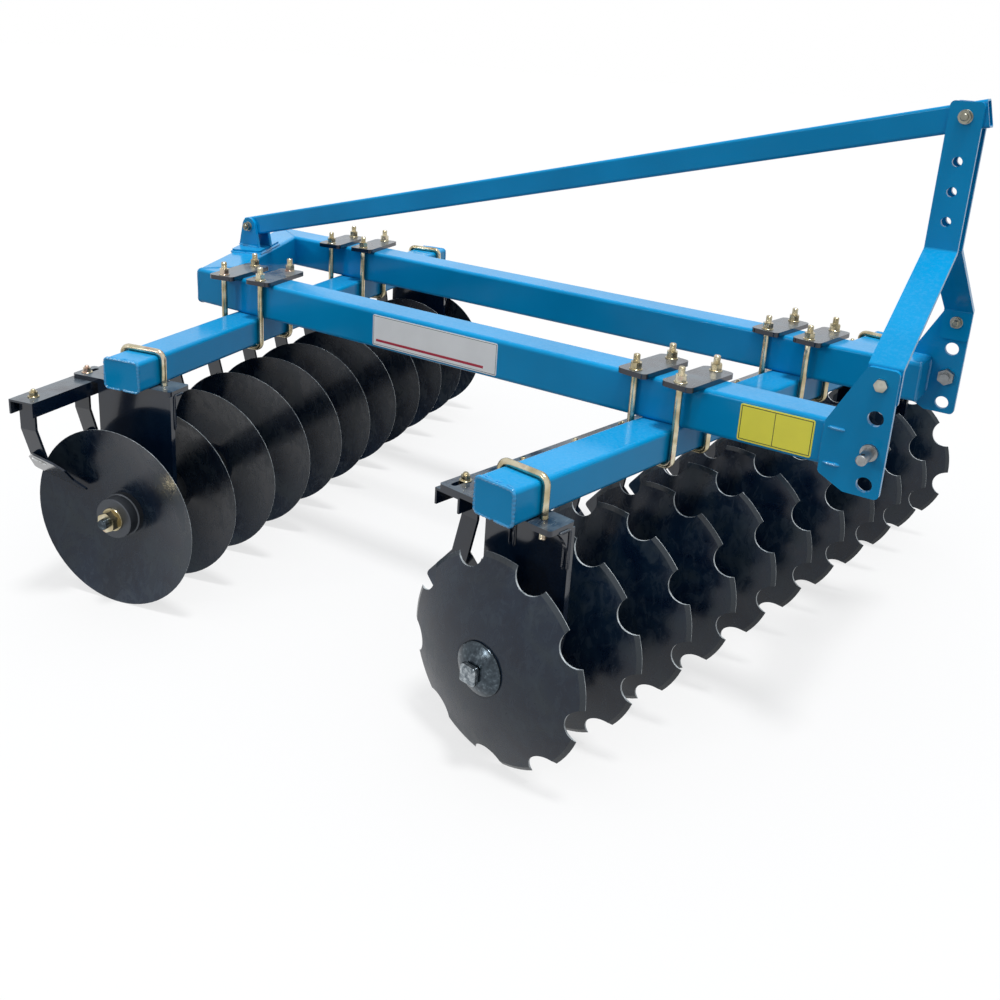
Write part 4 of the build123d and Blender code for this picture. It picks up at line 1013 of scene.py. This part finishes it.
class HARROW_OT_blade_welds(bpy.types.Operator):
    """Bare welds where each scraper's blade meets its arm, on both faces"""
    bl_idname = "harrow.blade_welds"
    bl_label = "Scraper welds"

    def execute(self, context):
        for gang, hollow in GANGS.items():
            # Ends of the scraping edge: at its angle round the axle, and clear of the dish at each radius
            ends = np.array([(r * math.cos(EDGE_ANGLE),
                              hollow * (dish_depth(min(r, DISC_R)) + DISC_T / 2 + BLADE_CLEAR),
                              AXLE_Z + r * math.sin(EDGE_ANGLE)) for r in EDGE_RADII])
            foot = np.array([BAR_X, hollow * ARM_FOOT_OUT, ARM_FOOT_Z])
            along = unit(ends[1] - ends[0])
            normal = unit(np.cross(along, foot - ends[0]))
            normal *= np.sign(normal[1]) * hollow
            # Half a bead, which stops just short of the arm's edge
            reach = along * ARM_W * 0.46
            surface = Surface()
            for k in range(DISC_COUNT):
                # How far each of the two beads lies from the blade's own plane, and above the arm's foot
                for offset, rise in ((5.2, 1.0), (-1.5, -1.0)):
                    middle = foot + normal * offset + np.array([0, hub_y(k), rise])
                    surface.add(bead(np.array([middle - reach, middle + reach]), BLADE_BEAD, seed=k))
            surface.build(f"{gang}_scraper_welds", gang_axes(gang), "frame", "black_paint",
                          material_of(weld_steel))
        return {"FINISHED"}


class HARROW_OT_plates(bpy.types.Operator):
    """Lays the two blank plates on the near main beam's outer face"""
    bl_idname = "harrow.plates"
    bl_label = "Blank plates"

    def execute(self, context):
        film = context.scene.harrow_sizes.plate_film / MM
        y = -(BEAM_Y + BEAM_W / 2)
        # Marks within the border: shares of the plate's width and height that they run between, and the tint
        stripe = (0.03, 0.9, 0.14, 0.22, "#b01f3c")
        divider = (0.475, 0.485, 0.05, 0.95, "#3a4030")
        # Left, right, low and high on the beam, the tint and the marks
        plates = {"white": ((-178, 212, 632, 714), "#f2f4f5",
                            border_marks(0.006, 0.03, 0.004, 0.02, "#7d868a") + [stripe]),
                  "yellow": ((832, 993, 632, 714), "#fff657",
                             border_marks(0.02, 0.04, 0.011, 0.022, "#3a4030") + [divider])}
        for name, (span, tint, marks) in plates.items():
            material = printed_vinyl(f"{name}_vinyl", tint, span, marks)
            x0, x1, z0, z1 = span
            # Its back lies 0.2 mm inside the beam's face
            surface = Surface().add(rounded_box(x0, x1, y - film, y + 0.2, z0, z1, r=0.3, axis=1, corner=5))
            surface.build(f"sign_plate_{name}", machine_axes(), "frame", "blue_paint", material)
        return {"FINISHED"}


def is_seen(tree):
    """One for rays that show a surface: from the camera, off gloss or through glass."""
    rays = add(tree, "LightPath")
    seen = add(tree, "Math", {0: rays.outputs["Is Camera Ray"], 1: rays.outputs["Is Glossy Ray"]},
               operation="MAXIMUM")
    return add(tree, "Math", {0: seen, 1: rays.outputs["Is Transmission Ray"]}, operation="MAXIMUM")


class HARROW_OT_stage(bpy.types.Operator):
    """Camera at the photograph's angle, pale floor, and plain soft light from above"""
    bl_idname = "harrow.stage"
    bl_label = "Stage"

    def execute(self, context):
        self.camera(context.scene)
        self.floor(context.scene)
        self.sky(context.scene)
        # Name, place it shines from, strength and angular size in radians
        lamps = (("key", (0.8, -0.3, 5.0), 2.25, 0.16), ("fill", (-1.4, -3.8, 1.5), 0.34, 0.16))
        for name, place, strength, angle in lamps:
            lamp = bpy.data.lights.new(name, "SUN")
            lamp.energy, lamp.angle = strength, angle
            item = bpy.data.objects.new(name, lamp)
            item.location = place
            item.rotation_mode = "QUATERNION"
            item.rotation_quaternion = (-Vector(place)).to_track_quat("-Z", "Y")
            context.scene.collection.objects.link(item)
        context.scene.view_settings.view_transform = "Standard"
        return {"FINISHED"}

    def camera(self, scene):
        stage = scene.harrow_stage
        cam = bpy.data.cameras.new("camera")
        cam.sensor_width, cam.lens = 36.0, stage.lens
        cam.shift_x, cam.shift_y = stage.shift
        cam.clip_end = 100.0
        holder = bpy.data.objects.new("camera", cam)
        scene.collection.objects.link(holder)
        yaw, pitch, roll = stage.camera_yaw, stage.camera_pitch, stage.camera_roll
        forward = np.array([-math.sin(yaw) * math.cos(pitch), math.cos(yaw) * math.cos(pitch),
                            -math.sin(pitch)])
        level = np.array([math.cos(yaw), math.sin(yaw), 0.0])
        upright = np.cross(level, forward)
        matrix = np.eye(4)
        matrix[:3, 0] = math.cos(roll) * level + math.sin(roll) * upright
        matrix[:3, 1] = math.cos(roll) * upright - math.sin(roll) * level
        matrix[:3, 2], matrix[:3, 3] = -forward, stage.camera_place
        holder.matrix_world = Matrix(matrix)
        scene.camera = holder

    def floor(self, scene):
        # In metres either way, and points on a side
        reach, side = 40, 9
        u = np.linspace(-reach, reach, side)
        points = np.stack(np.meshgrid(u, u, [0.0], indexing="ij"), -1).reshape(-1, 3)
        mesh = bpy.data.meshes.new("floor")
        mesh.from_pydata(points.tolist(), [], grid_faces(side, side, False)[:, ::-1].tolist())
        floor = bpy.data.objects.new("floor", mesh)
        scene.collection.objects.link(floor)
        material = bpy.data.materials.new("pale_floor")
        material.use_nodes = True
        tree = material.node_tree
        tree.nodes.clear()
        diffuse = add(tree, "BsdfDiffuse", {"Color": (0.2, 0.2, 0.2, 1)})
        dark = add(tree, "Emission", {"Strength": 0.0})
        pale = add(tree, "Emission", {"Color": (1, 1, 1, 1), "Strength": 0.72})
        glow = add(tree, "MixShader", {0: is_seen(tree), 1: dark, 2: pale})
        add(tree, "OutputMaterial", {"Surface": add(tree, "AddShader", {0: diffuse, 1: glow})})
        mesh.materials.append(material)

    def sky(self, scene):
        world = bpy.data.worlds.new("studio")
        world.use_nodes = True
        tree = world.node_tree
        tree.nodes.clear()
        height = add(tree, "SeparateXYZ", {"Vector": add(tree, "TexCoord").outputs["Generated"]})
        strength = add(tree, "MapRange", {"Value": height.outputs["Z"], "To Min": 0.1, "To Max": 1.05})
        soft = add(tree, "Background", {"Color": (0.93, 0.96, 1.0, 1), "Strength": strength})
        white = add(tree, "Background", {"Color": (1, 1, 1, 1), "Strength": 1.0})
        mixed = add(tree, "MixShader", {0: is_seen(tree), 1: soft, 2: white})
        add(tree, "OutputWorld", {"Surface": mixed})
        scene.world = world


STEPS = (HARROW_OT_finishes, HARROW_OT_u_bolts, HARROW_OT_cross_bolts, HARROW_OT_axles,
         HARROW_OT_scraper_bolts, HARROW_OT_bearing_bolts, HARROW_OT_frame_welds, HARROW_OT_hanger_welds,
         HARROW_OT_blade_welds, HARROW_OT_plates, HARROW_OT_stage)


class HARROW_PT_panel(bpy.types.Panel):
    """Lists the harrow's pieces, sizes and colours"""
    bl_label = "Harrow"
    bl_idname = "HARROW_PT_panel"
    bl_space_type = "VIEW_3D"
    bl_region_type = "UI"
    bl_category = "Harrow"

    def draw(self, context):
        for step in STEPS:
            self.layout.operator(step.bl_idname)
        for group in (context.scene.harrow_colours, context.scene.harrow_sizes, context.scene.harrow_stage):
            for name in group.__annotations__:
                self.layout.prop(group, name)


CLASSES = (HarrowColours, HarrowSizes, HarrowStage, *STEPS, HARROW_PT_panel)


def register():
    for cls in CLASSES:
        bpy.utils.register_class(cls)
    bpy.types.Scene.harrow_colours = bpy.props.PointerProperty(type=HarrowColours)
    bpy.types.Scene.harrow_sizes = bpy.props.PointerProperty(type=HarrowSizes)
    bpy.types.Scene.harrow_stage = bpy.props.PointerProperty(type=HarrowStage)


def unregister():
    del bpy.types.Scene.harrow_stage, bpy.types.Scene.harrow_sizes, bpy.types.Scene.harrow_colours
    for cls in reversed(CLASSES):
        bpy.utils.unregister_class(cls)


def main():
    register()
    for step in STEPS:
        group, name = step.bl_idname.split(".")
        getattr(getattr(bpy.ops, group), name)()


if __name__ == "__main__":
    main()
